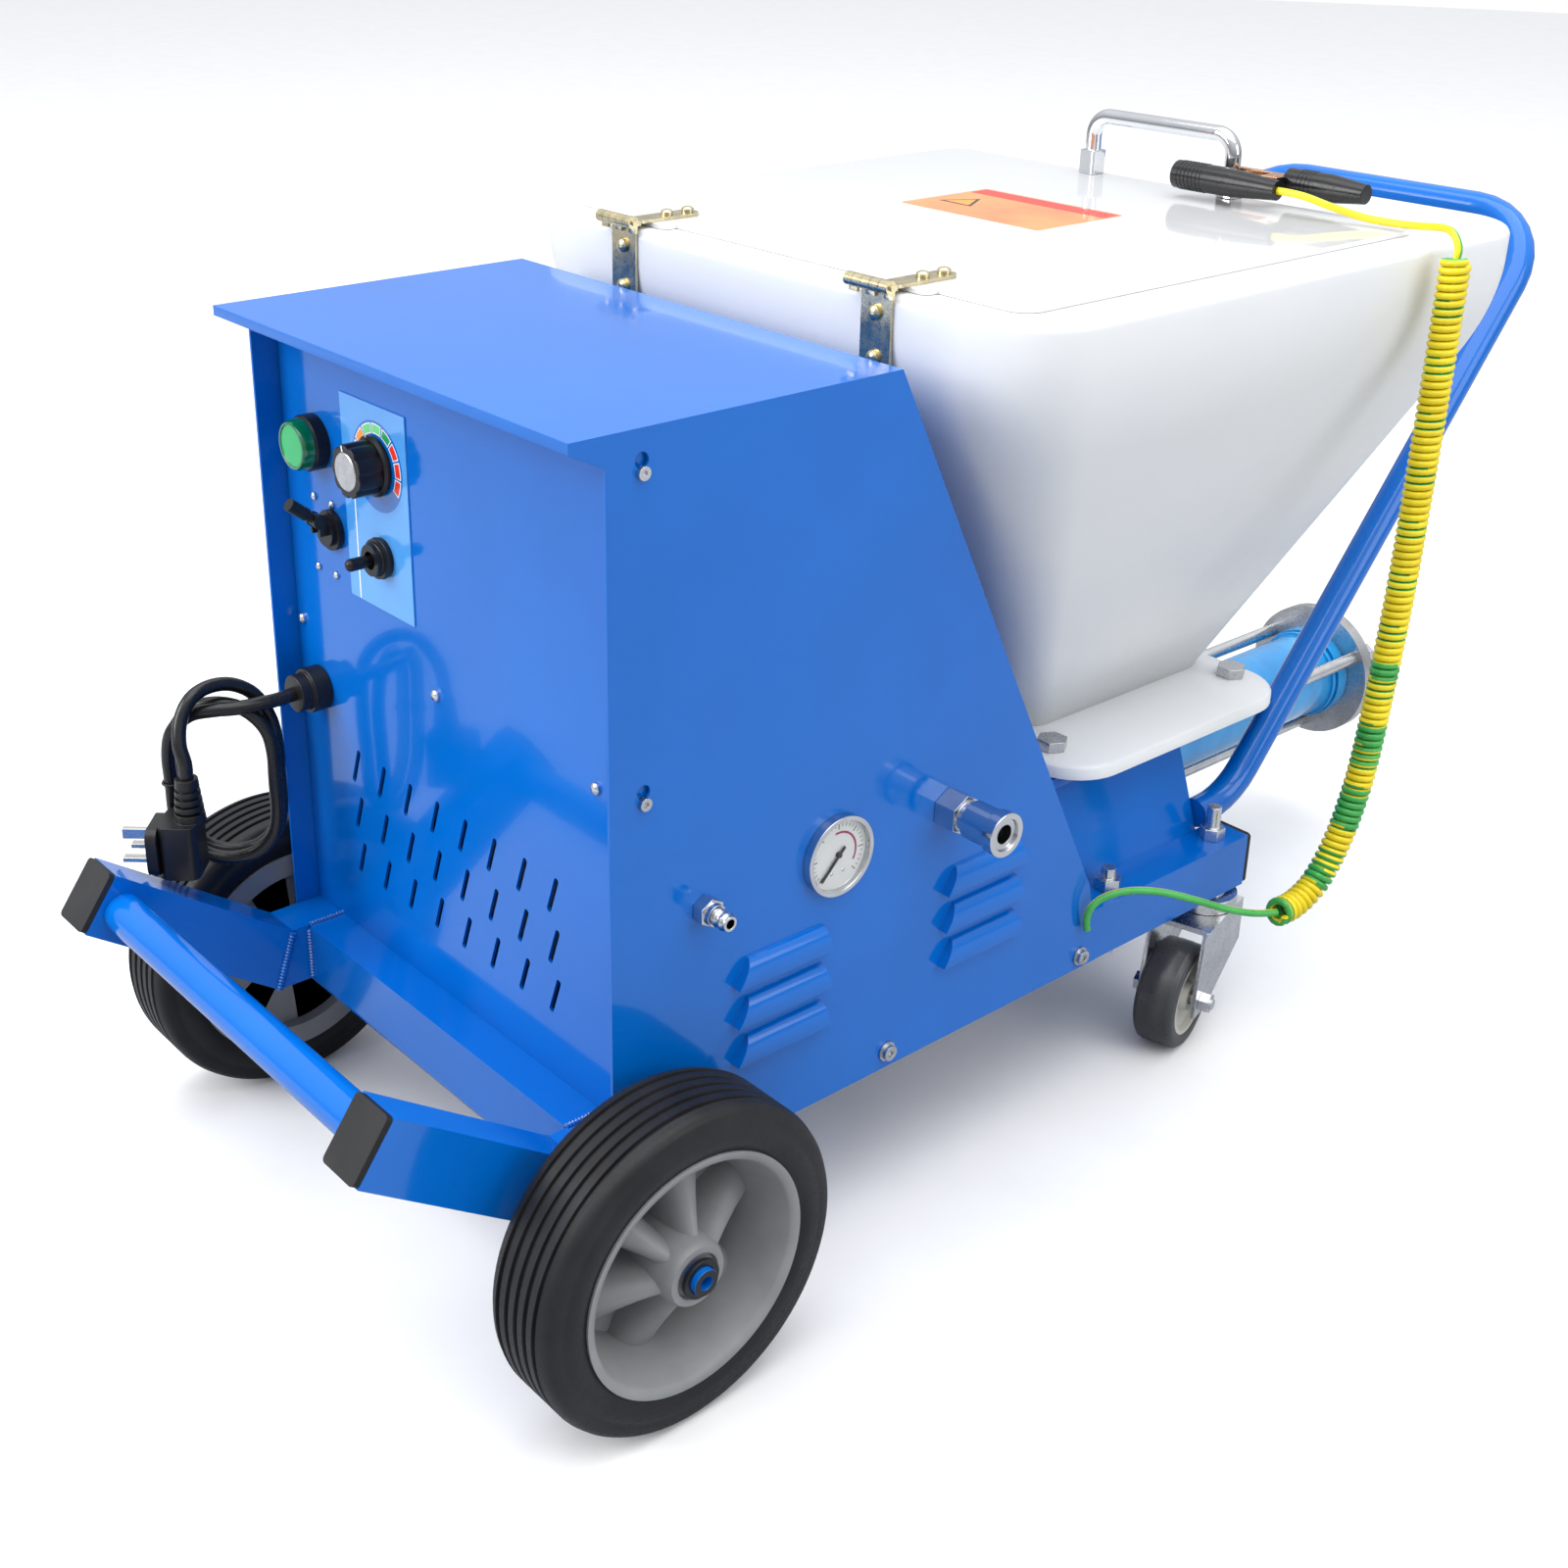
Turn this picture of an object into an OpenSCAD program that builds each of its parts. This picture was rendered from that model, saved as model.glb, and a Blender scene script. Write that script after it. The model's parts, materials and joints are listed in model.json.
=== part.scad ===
// Hopper-fed screw pump on a two-wheel cart with a sheet-metal control housing.
// Millimetres. +Z up, ground at z = 0, control panel faces -Y, pump outlet faces +Y.
// Lengths along Y are first measured from the wheel axle, then centred by place().

/* [Chassis] */
// Width across the two side rails
chassis_w = 345; // [300:5:400]
// Rail tube width
rail_w = 30; // [24:1:36]
// Rail tube height
rail_h = 40; // [34:1:46]
// Rail tube wall
rail_wall = 2.5; // [1.5:0.5:3.5]
// Height of the rail underside
rail_z = 106; // [104:1:116]
// Rear end of the rails behind the axle
rail_rear = 572; // [560:2:620]
// Where the bumper arms turn up, in front of the axle
arm_y = 25; // [20:1:40]
// Length of the bumper arms along their top edge
arm_len = 138; // [110:2:160]
// Slope of the bumper arms
arm_rise = 35.5; // [25:0.5:45]
// Bumper cross bar diameter
bar_d = 25; // [18:1:30]
// Push handle tube diameter
grip_tube_d = 22; // [18:1:28]
// Push handle width between tube centres
grip_w = 277; // [250:1:277]
// Push handle slope
grip_rise = 49.6; // [44:0.2:56]
// Height of the push handle cross bar
grip_z = 545; // [500:5:600]
// Height of saddle plate top
saddle_top = 217; // [205:1:225]

/* [Wheels] */
// Wheel radius
wheel_r = 100; // [96:1:110]
// Tyre width
tyre_w = 55; // [44:1:60]
// Radius of the wheel rim
rim_r = 73.5; // [66:0.5:80]
// Axle diameter
axle_d = 16; // [12:1:20]
// Running gap between rail and wheel
wheel_gap = 15.5; // [8:0.5:24]
// Caster wheel radius
caster_r = 39; // [34:1:42]
// Caster wheel width
caster_w = 30; // [24:1:32]
// Caster trail from swivel to wheel centre
trail = 44; // [40:1:50]
// Rest angle of the casters
caster_turn = 15; // [0:5:60]

/* [Housing] */
// Sheet thickness
sheet = 2; // [1:0.5:3]
// Top of the housing
hood_top = 552; // [500:2:600]
// Length of the housing roof
hood_len = 219; // [200:1:240]
// Roof overhang in front of the control panel
eave = 38.2; // [30:0.2:44]
// Depth of the recess of the control panel
recess = 16.8; // [10:0.2:24]
// Height of the knee in the slanted rear edge
knee_z = 170; // [160:2:190]

/* [Hopper] */
// Width of the hopper at the top
hopper_w = 466; // [420:2:520]
// Length of the hopper at the top
hopper_l = 497; // [440:1:520]
// Height of the hopper deck
hopper_top = 577; // [560:1:620]
// Height of the upright band
band_h = 52; // [30:1:80]
// Hopper wall
hopper_wall = 6; // [4:0.5:8]
// Width of the hopper foot
foot_w = 160; // [130:2:180]
// Length of the hopper foot
foot_l = 202; // [170:2:220]
// Thickness of the hopper flange
flange_t = 12; // [8:1:16]
// Lid width
lid_w = 408; // [380:2:440]
// Lid length
lid_l = 375; // [340:1:400]
// Lid thickness
lid_t = 3; // [2:0.5:5]

/* [Pump] */
// Height of the pump axis
pump_z = 131; // [126:1:136]
// Stator outer radius
stator_r = 35; // [30:1:38]
// Outlet flange radius
outlet_r = 57; // [54:1:62]
// Outlet bore
outlet_bore = 38; // [30:1:44]
// Tie rod circle radius
rod_circle = 48; // [46:1:50]
// Tie rod diameter
rod_d = 11; // [8:1:12]
// Rear face of the outlet flange behind the axle
outlet_y = 909; // [880:1:925]

/* [Fittings] */
// Gauge bezel diameter
gauge_d = 50; // [40:1:60]
// Speed knob diameter
knob_d = 36; // [30:1:40]
// Coupler sleeve diameter
sleeve_d = 27; // [22:1:32]
// Running fit of shafts and pins
fit = 0.05; // [0.02:0.01:0.1]
// Gap between moving faces
gap = 0.3; // [0.2:0.1:0.6]

/* [Hidden] */
$fn = 48;

blue = "#0a64c8"; black = "#1b1c1e"; zinc = "#b9bcc0"; white = "#f1f2f4"; grey = "#8f9195";
steel = "#a7abb0"; rubber = "#232326"; brass = "#c9a23a"; yellow = "#f2cf1c";

// ---- chassis ----
rail_in = chassis_w/2 - rail_w;
rail_x = chassis_w/2 - rail_w/2;
rail_top = rail_z + rail_h;
half_rise = tan(arm_rise/2);
arm_tip = [-arm_y - arm_len*cos(arm_rise), rail_top + arm_len*sin(arm_rise)];
arm_down = [-sin(arm_rise), -cos(arm_rise)];
arm_out = [-cos(arm_rise), sin(arm_rise)];
cap_t = 4;
cross_y0 = -13;
cross_l = 30;

// ---- push handle ----
grip_r = grip_tube_d/2;
grip_bend = 60;
stub_z = rail_top + grip_r + 0.2;
stub_y = 551;
grip_low_y = 588.5;
grip_back_y = grip_low_y + (grip_z - stub_z)/tan(grip_rise);

// ---- overall length: centred between the bumper caps and the handle bar ----
y_front = arm_tip[0] + rail_h*arm_down[0] + cap_t*arm_out[0];
y_back = grip_back_y + grip_r;
y_mid = (y_front + y_back)/2;

// ---- wheels ----
wheel_in = chassis_w/2 + wheel_gap;
wheel_out = wheel_in + tyre_w;
hub_r = 21;
caster_y = 549;
race_h = 12;
fork_top = rail_z - race_h;
lock_w = 3;

// ---- housing ----
hood_x = chassis_w/2 + 2.5;
hood_y0 = cross_y0 + cross_l - 4.8 - eave;
panel_y = hood_y0 + eave;
side_y0 = panel_y - recess;
hood_y1 = hood_y0 + hood_len;
hood_z0 = rail_z + 2;
knee_y = 391.5;
hood_slope = (knee_y - hood_y1)/(hood_top - knee_z);

// ---- hopper ----
hopper_y0 = 232;
hopper_y1 = hopper_y0 + hopper_l;
band_z = hopper_top - band_h;
flange_z = saddle_top + 8 + flange_t;
foot_y0 = 427;
foot_y1 = foot_y0 + foot_l;
flange_y0 = foot_y0 - 27;
flange_y1 = foot_y1 + 12;
flange_w = 300;
bolt_x = 108;
bolt_d = 12;
bolt_ys = [foot_y0 - 5, foot_y1 - 8];
lid_y0 = 254;
lid_z = hopper_top + 0.3;
lid_top = lid_z + lid_t;
hinge_y = hopper_y0 - 5;
hinge_z = lid_top + 2;
hinge_x = 115;
hinge_w = 24;
barrel_d = 8;
pin_d = 3.6;
lid_grip_x = 61.5;
lid_grip_y = lid_y0 + lid_l - 9;
lid_grip_z = lid_top + 47;
lid_grip_d = 11;

// ---- pump ----
trough_y0 = flange_y0 + 3;
trough_y1 = flange_y1 - 5;
trough_r = 60;
outlet_y0 = outlet_y - 12;
stator_y1 = outlet_y0 - 0.1;
stator_y0 = trough_y1 + 0.1;

// ---- controls ----
knob_x = -64.5; knob_z = 474.5;
lamp_x = -133.5; lamp_z = 472.5;
toggle_x = -62; toggle_z = 419.5;
breaker_x = -119; breaker_z = 421;
gland_x = -148; gland_z = 308;
gauge_y = 156; fit_z = 275; coupler_y = 248; nipple_y = 58;

module place() { translate([0, -y_mid, 0]) children(); }
// Extrudes a (y, z) outline along X, centred on x
module along_x(x, w) { translate([x - w/2, 0, 0]) rotate([90, 0, 90]) linear_extrude(w) children(); }
module mirror_x() { mirror([1, 0, 0]) children(); }
module both_sides() { children(); mirror_x() children(); }
module cyl_x(d, x0, x1) { translate([x0, 0, 0]) rotate([0, 90, 0]) cylinder(d = d, h = x1 - x0); }
module cyl_y(d, y0, y1) { translate([0, y0, 0]) rotate([-90, 0, 0]) cylinder(d = d, h = y1 - y0); }
module box(a, b) { translate(a) cube(b - a); }
// Hexagonal prism along Z, af across flats
module hex(af, h) { cylinder(d = af/cos(30), h = h, $fn = 6); }
// Points of a rectangle w by l with corner radius r, centred on [0, 0]
function rrect(w, l, r, n = 8) = [for (c = [0:3], k = [0:n])
  let (a = 90*c + 90*k/n, sx = (c == 0 || c == 3) ? 1 : -1, sy = c < 2 ? 1 : -1)
  [sx*(w/2 - r) + r*cos(a), sy*(l/2 - r) + r*sin(a)]];
module rbox(w, l, h, r) { linear_extrude(h) polygon(rrect(w, l, r)); }

// ---- swept tubes along a list of points ----
function unit(v) = v/norm(v);
function tangent(p, i) = unit(p[min(i + 1, len(p) - 1)] - p[max(i - 1, 0)]);
function side(t, up) = unit(cross(t, up));
// Carries a side vector along the route without twist
function frames(p, i, s, acc) = i >= len(p) ? acc :
  let (t = tangent(p, i), u = unit(s - (s*t)*t)) frames(p, i + 1, u, concat(acc, [u]));
module sweep(p, d, n) {
  f = frames(p, 0, side(tangent(p, 0), abs(tangent(p, 0)[2]) < 0.9 ? [0, 0, 1] : [1, 0, 0]), []);
  rings = [for (i = [0:len(p) - 1]) let (t = tangent(p, i), s = f[i], b = cross(t, s))
    for (k = [0:n - 1]) p[i] + d/2*(cos(360*k/n)*s + sin(360*k/n)*b)];
  m = len(p);
  polyhedron(rings, concat([[for (k = [0:n - 1]) k]], [[for (k = [n - 1:-1:0]) (m - 1)*n + k]],
    [for (i = [0:m - 2], k = [0:n - 1]) let (k2 = (k + 1) % n)
      [i*n + k, (i + 1)*n + k, (i + 1)*n + k2, i*n + k2]]));
}

// ---- rails, arms and tubes ----
// Side outline of a rail with its turned-up arm, set in by w all round
function rail_outline(w) = let (d = rail_h - w) [
  [rail_rear + (w > 0 ? 1 : 0), rail_z + w], [rail_rear + (w > 0 ? 1 : 0), rail_top - w],
  [-arm_y - w*half_rise, rail_top - w], arm_tip + w*arm_down + (w > 0 ? 1 : 0)*arm_out,
  arm_tip + d*arm_down + (w > 0 ? 1 : 0)*arm_out, [-arm_y - d*half_rise, rail_top - d]];
module frame_rail() {
  difference() {
    along_x(rail_x, rail_w) polygon(rail_outline(0));
    along_x(rail_x, rail_w - 2*rail_wall) polygon(rail_outline(rail_wall));
    translate([0, 0, wheel_r]) cyl_x(axle_d + 0.2, 0, 300);
    for (y = [433, caster_y]) translate([rail_x, y, 0]) cylinder(d = 10.4, h = 300);
    for (s = side_bolts) translate([chassis_w/2, s[0], s[1]]) cyl_x(6.4, -12, 1);
  }
}
module right_frame_rail() { color(blue) place() frame_rail(); }
module left_frame_rail() { color(blue) place() mirror_x() frame_rail(); }
module front_cross_tube() {
  color(blue) place() difference() {
    box([-rail_in, cross_y0, rail_z], [rail_in, cross_y0 + cross_l, rail_top]);
    box([-rail_in - 1, cross_y0 + rail_wall, rail_z + rail_wall],
      [rail_in + 1, cross_y0 + cross_l - rail_wall, rail_top - rail_wall]);
    translate([0, 0, wheel_r]) cyl_x(axle_d + 0.2, -300, 300);
  }
}
module bumper_cross_bar() {
  c = arm_tip + rail_h/2*arm_down - 16*arm_out;
  color(blue) place() translate([0, c[0], c[1]]) difference() {
    cyl_x(bar_d, -rail_in, rail_in);
    cyl_x(bar_d - 4, -rail_in - 1, rail_in + 1);
  }
}
// One moulded end cap, plug pointing +Z, flange below z = 0
module end_cap() {
  iw = rail_w - 2*rail_wall - 0.4;
  ih = rail_h - 2*rail_wall - 0.4;
  union() {
    translate([0, 0, -cap_t]) rbox(rail_w - 0.4, rail_h - 0.4, cap_t, 3);
    box([-iw/2, -ih/2, 0], [iw/2, ih/2, 12]);
  }
}
module tube_end_caps() {
  m = arm_tip + rail_h/2*arm_down;
  color(black) place() both_sides() {
    translate([rail_x, m[0], m[1]]) rotate([-90 - arm_rise, 0, 0]) end_cap();
    translate([rail_x, rail_rear, rail_z + rail_h/2]) rotate([90, 0, 0]) end_cap();
  }
}
saddle_t = 4;
saddle_y0 = flange_y0 + 2;
saddle_y1 = 549;
saddle_lean = 0.36;
saddle_half = rail_in + 0.5 - (saddle_top - rail_top)*saddle_lean;
module saddle_bracket() {
  f = rail_in + 0.5;
  color(blue) place() difference() {
    translate([0, saddle_y1, 0]) rotate([90, 0, 0]) linear_extrude(saddle_y1 - saddle_y0)
      polygon([[-f, rail_top], [-saddle_half, saddle_top], [saddle_half, saddle_top], [f, rail_top],
        [f - saddle_t, rail_top], [saddle_half - saddle_t, saddle_top - saddle_t],
        [-saddle_half + saddle_t, saddle_top - saddle_t], [-f + saddle_t, rail_top]]);
    box([-trough_r - 0.3, saddle_y0 - 1, rail_z], [trough_r + 0.3, saddle_y1 + 1, saddle_top + 1]);
    for (x = [-bolt_x, bolt_x]) translate([x, bolt_ys[0], rail_top]) cylinder(d = bolt_d + 0.2, h = 100);
  }
}
// Centre line of one handle leg: short stub, bend, straight rise, bend to the cross bar
grip_run = [0, cos(grip_rise), sin(grip_rise)];
function grip_leg(s) = let (hx = s*grip_w/2, a = grip_rise, y1 = grip_low_y - grip_bend*tan(a/2),
    c = [hx - s*grip_bend, grip_back_y, grip_z] - grip_bend*grip_run) concat(
  [[hx, stub_y, stub_z]],
  [for (k = [0:5]) [hx, y1 + grip_bend*sin(a*k/5), stub_z + grip_bend*(1 - cos(a*k/5))]],
  [for (k = [0:8]) c + grip_bend*(cos(90*k/8)*[s, 0, 0] + sin(90*k/8)*grip_run)]);
function reversed(p) = [for (i = [len(p) - 1:-1:0]) p[i]];
module push_handle() { color(blue) place() sweep(concat(grip_leg(1), reversed(grip_leg(-1))), grip_tube_d, 24); }

// ---- wheels and casters ----
axle_end = wheel_out + lock_w + 4;
module wheel_axle() {
  color(blue) place() translate([0, 0, wheel_r]) difference() {
    cyl_x(axle_d, -axle_end, axle_end);
    cyl_x(8, -axle_end - 1, -axle_end + 30);
    cyl_x(8, axle_end - 30, axle_end + 1);
  }
}
module axle_lock_caps() {
  color(black) place() both_sides() translate([0, 0, wheel_r]) difference() {
    cyl_x(axle_d + 8, wheel_out + gap, wheel_out + gap + lock_w);
    cyl_x(axle_d + 0.1, 0, 400);
  }
}
module wheel_spacers() {
  color(zinc) place() both_sides() translate([0, 0, wheel_r]) difference() {
    cyl_x(axle_d + 8, chassis_w/2 + 0.1, wheel_in - gap);
    cyl_x(axle_d + 0.1, 0, 400);
  }
}
module tyre() {
  r = 11;
  translate([wheel_in, 0, wheel_r]) rotate([0, 90, 0]) rotate_extrude($fn = 96) polygon(concat(
    [[rim_r + 0.1, 0], [wheel_r - 16, 0]],
    [for (k = [0:6]) let (a = -90 + 15*k) [wheel_r - r + r*cos(a), r + r*sin(a)]],
    [for (k = [0:6]) let (a = 15*k) [wheel_r - r + r*cos(a), tyre_w - r + r*sin(a)]],
    [[wheel_r - 16, tyre_w], [rim_r + 0.1, tyre_w]]));
}
module wheel_hub() {
  translate([wheel_in, 0, wheel_r]) rotate([0, 90, 0]) difference() {
    union() {
      rotate_extrude($fn = 96) polygon([[rim_r - 8, 0], [rim_r, 0], [rim_r, tyre_w],
        [rim_r - 6, tyre_w], [rim_r - 12, tyre_w - 22], [rim_r - 12, 20]]);
      translate([0, 0, 12]) cylinder(r = rim_r - 11, h = 8);
      cylinder(r = hub_r, h = tyre_w);
      for (k = [0:5]) rotate([0, 0, 60*k + 15])
        box([hub_r - 3, -6, 19], [rim_r - 11, 6, tyre_w - 20]);
    }
    translate([0, 0, -1]) cylinder(d = axle_d + 2*fit, h = tyre_w + 2);
  }
}
module right_tyre() { color(rubber) place() tyre(); }
module left_tyre() { color(rubber) place() mirror_x() tyre(); }
module right_wheel_hub() { color(grey) place() wheel_hub(); }
module left_wheel_hub() { color(grey) place() mirror_x() wheel_hub(); }

caster_bolt_d = 8;
module caster_swivel_heads() {
  color(zinc) place() both_sides() translate([rail_x, caster_y, 0]) {
    difference() {
      union() {
        translate([0, 0, fork_top + gap]) cylinder(r = 23, h = race_h - gap - 2);
        translate([0, 0, rail_z - 2]) cylinder(r = 14, h = 2);
      }
      translate([0, 0, fork_top]) cylinder(r = 14, h = 6);
    }
    translate([0, 0, rail_z - 1]) cylinder(d = 10, h = rail_h + 26);
    translate([0, 0, rail_top]) rotate([0, 0, 30]) hex(16, 9);
  }
}
// Fork and wheel are drawn with the axle along X and the trail towards -Y
module caster_pose(x) { translate([x, caster_y, 0]) rotate([0, 0, caster_turn]) children(); }
module fork() {
  hw = caster_w/2 + 4;
  difference() {
    union() {
      box([-hw - 3, -trail + 2, fork_top - 4], [hw + 3, 22, fork_top]);
      cylinder(r = 13.6, h = 5.5 + fork_top);
      for (s = [-1, 1]) translate([s*(hw + 1.5), 0, 0]) rotate([90, 0, 90])
        translate([0, 0, -1.5]) linear_extrude(3) polygon([[-trail - 11, caster_r - 10],
          [-trail + 11, caster_r - 10], [22, fork_top - 34], [22, fork_top - 1],
          [-trail - 4, fork_top - 1], [-trail - 11, caster_r + 12]]);
    }
    translate([0, 0, -2]) cylinder(r = 13.7, h = fork_top - 4 + 2);
    translate([0, -trail, caster_r]) cyl_x(caster_bolt_d + 0.1, -60, 60);
  }
}
module caster_axle() {
  hw = caster_w/2 + 7;
  translate([0, -trail, caster_r]) {
    cyl_x(caster_bolt_d, -hw - 5, hw + 9);
    translate([hw + 0.1, 0, 0]) rotate([0, 90, 0]) hex(13, 7);
    translate([-hw - 6, 0, 0]) rotate([0, 90, 0]) hex(13, 5.9);
  }
}
module caster_wheel() {
  r = 7;
  w = caster_w/2;
  translate([0, -trail, caster_r]) rotate([0, 90, 0]) rotate_extrude($fn = 72) polygon(concat(
    [[caster_bolt_d/2 + fit, -w], [11, -w], [14, -w + 3], [24, -w + 3], [26, -w]],
    [for (k = [0:5]) let (a = -90 + 18*k) [caster_r - r + r*cos(a), -w + r + r*sin(a)]],
    [for (k = [0:5]) let (a = 18*k) [caster_r - r + r*cos(a), w - r + r*sin(a)]],
    [[26, w], [24, w - 3], [14, w - 3], [11, w], [caster_bolt_d/2 + fit, w]]));
}
module right_caster_fork() { color(zinc) place() caster_pose(rail_x) { fork(); caster_axle(); } }
module left_caster_fork() { color(zinc) place() caster_pose(-rail_x) { fork(); caster_axle(); } }
module right_caster_wheel() { color(rubber) place() caster_pose(rail_x) caster_wheel(); }
module left_caster_wheel() { color(rubber) place() caster_pose(-rail_x) caster_wheel(); }

// ---- housing ----
side_outline = [[hood_y0, hood_top], [hood_y1, hood_top], [knee_y, knee_z], [knee_y + 13.5, hood_z0],
  [side_y0, hood_z0], [side_y0, hood_top - 16.5], [hood_y0, hood_top - 6]];
louvre_l = 73;
louvre_h = 16;
louvre_d = 7;
louvre_ys = [79, 246];
louvre_zs = [216, 190.5, 165];
// Pressed louvre standing out of a side sheet, drawn with the sheet face at x = 0
module louvre(inset) {
  intersection() {
    rotate([90, 0, 180]) translate([0, 0, 0]) mirror([1, 0, 0]) linear_extrude(louvre_l)
      polygon(concat([[-sheet, inset], [louvre_d - inset, inset]],
        [for (k = [0:6]) let (a = 15*k)
          [(louvre_d - inset)*cos(a), 4 + (louvre_h - 4 - inset)*sin(a)]], [[-sheet, louvre_h - inset]]));
    rotate([90, 0, 90]) translate([0, 0, -sheet - 1]) linear_extrude(louvre_d + sheet + 2)
      polygon([[inset, -1], [louvre_l - inset, -1], [louvre_l - 5 - inset, louvre_h + 1],
        [12 + inset, louvre_h + 1]]);
  }
}
module at_louvres() {
  for (y = louvre_ys, z = louvre_zs) translate([hood_x, y, z]) children();
}
module keyhole() { cyl_x(4.4, -5, 5); translate([0, 0, 6]) cyl_x(8.5, -5, 5); box([-5, -2.2, 0], [5, 2.2, 6]); }
side_screws = [[17.4, 529.6], [17.4, 351.5]];
side_bolts = [[205.7, 120], [387, 118]];
module housing_hood() {
  color(blue) place() difference() {
    union() {
      both_sides() {
        along_x(hood_x - sheet/2, sheet) polygon(side_outline);
        at_louvres() louvre(0);
      }
      box([-hood_x, hood_y0, hood_top - sheet], [hood_x, hood_y1, hood_top]);
      box([-hood_x, hood_y0, hood_top - 6], [hood_x, hood_y0 + sheet, hood_top]);
    }
    both_sides() {
      at_louvres() translate([-0.01, 0, -0.01]) louvre(1.4);
      for (s = side_screws) translate([hood_x, s[0], s[1]]) keyhole();
      for (s = side_bolts) translate([hood_x, s[0], s[1]]) cyl_x(6.4, -5, 5);
    }
    translate([0, 0, wheel_r]) cyl_x(axle_d + 10, -hood_x - 1, hood_x + 1);
    translate([hood_x, gauge_y, fit_z]) cyl_x(gauge_d - 3, -5, 5);
    for (y = [nipple_y, coupler_y]) translate([hood_x, y, fit_z]) cyl_x(14.2, -5, 5);
  }
}
vent_n = 8;
vent_pitch = 30;
vent_x0 = -111;
vent_zs = [265.6, 232.5, 200];
module vent_slot() {
  rotate([0, 20, 0]) {
    box([-2, -5, -11], [2, 5, 11]);
    for (s = [-1, 1]) translate([0, 0, 11*s]) cyl_y(4, -5, 5);
  }
}
panel_screw_xs = [-166, -12, 142];
panel_screw_zs = [531.5, 349];
breaker_screws = [for (x = [-10.5, 10.5], z = [-22.5, 22.5]) [breaker_x - 10.5 + x, 414 + z]];
module front_panel() {
  w = chassis_w/2 - 0.3;
  color(blue) place() difference() {
    union() {
      box([-w, panel_y, rail_top + 0.2], [w, panel_y + sheet, hood_top - sheet - 0.2]);
      both_sides() box([w - sheet, panel_y, rail_top + 0.2], [w, panel_y + 14, hood_top - sheet - 0.2]);
    }
    for (i = [0:vent_n - 1], z = vent_zs) translate([vent_x0 + vent_pitch*i, panel_y, z]) vent_slot();
    translate([knob_x, panel_y, knob_z]) cyl_y(7.2, -5, 5);
    translate([lamp_x, panel_y, lamp_z]) cyl_y(22.2, -5, 5);
    translate([toggle_x, panel_y, toggle_z]) cyl_y(12.2, -5, 5);
    translate([breaker_x, panel_y, breaker_z]) cyl_y(12.2, -5, 5);
    translate([gland_x, panel_y, gland_z]) cyl_y(16.2, -5, 5);
    for (x = panel_screw_xs, z = panel_screw_zs) translate([x, panel_y, z]) cyl_y(4.2, -5, 5);
    for (s = breaker_screws) translate([s[0], panel_y, s[1]]) cyl_y(3.2, -5, 5);
    for (s = side_screws) translate([0, s[0], s[1]]) cyl_x(4.4, -w - 1, w + 1);
  }
}
module rear_panel() {
  w = chassis_w/2 + 0.3;
  y_at = function (z) hood_y1 + (hood_top - z)*hood_slope;
  z0 = knee_z + 18;
  z1 = hood_top - sheet - 0.3;
  color(blue) place() along_x(0, 2*w) polygon([[y_at(z1) - 6, z1], [y_at(z1) - 4, z1],
    [y_at(z0) - 4, z0], [y_at(z0) - 6, z0]]);
}
module floor_pan() {
  w = chassis_w/2 - 3;
  color(blue) place() difference() {
    box([-w, panel_y + sheet + 2, rail_top + 0.1], [w, 300, rail_top + 0.1 + sheet]);
    box([-66, 240, rail_top - 1], [66, 301, rail_top + 5]);
  }
}
module pan_screw(d, head, l) {
  cyl_y(d, 0, l);
  intersection() { cyl_y(head, -0.45*head, 0); translate([0, 0.25*head, 0]) sphere(d = 1.4*head); }
}
module panel_screws() {
  color(zinc) place() {
    for (x = panel_screw_xs, z = panel_screw_zs) translate([x, panel_y - 0.05, z]) pan_screw(4, 7, 8);
    for (s = breaker_screws) translate([s[0], panel_y - 0.05, s[1]]) pan_screw(3, 5, 8);
  }
}
// Button-head bolt through a side sheet, head outside
module side_bolt(d, head, l, washer) {
  cyl_x(d, -l, 0.1);
  if (washer > 0) cyl_x(washer, 0.05, 1.4);
  difference() {
    cyl_x(head, 0.05, washer > 0 ? 4.6 : 2.8);
    translate([washer > 0 ? 2.6 : 1.4, 0, 0]) rotate([0, 90, 0]) hex(0.4*head, 5);
  }
}
module housing_bolts() {
  color(zinc) place() {
    both_sides() {
      for (s = side_screws) translate([hood_x, s[0], s[1]]) side_bolt(4, 7.4, 5, 0);
      for (s = side_bolts) translate([hood_x, s[0], s[1]]) side_bolt(6, 10, 10, 13);
      translate([rail_x, 433, rail_z - 8]) cylinder(d = 10, h = rail_h + 24);
      translate([rail_x, 433, rail_top]) hex(17, 9);
      translate([rail_x, 433, rail_z - 7]) hex(17, 6.9);
    }
  }
}

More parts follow.
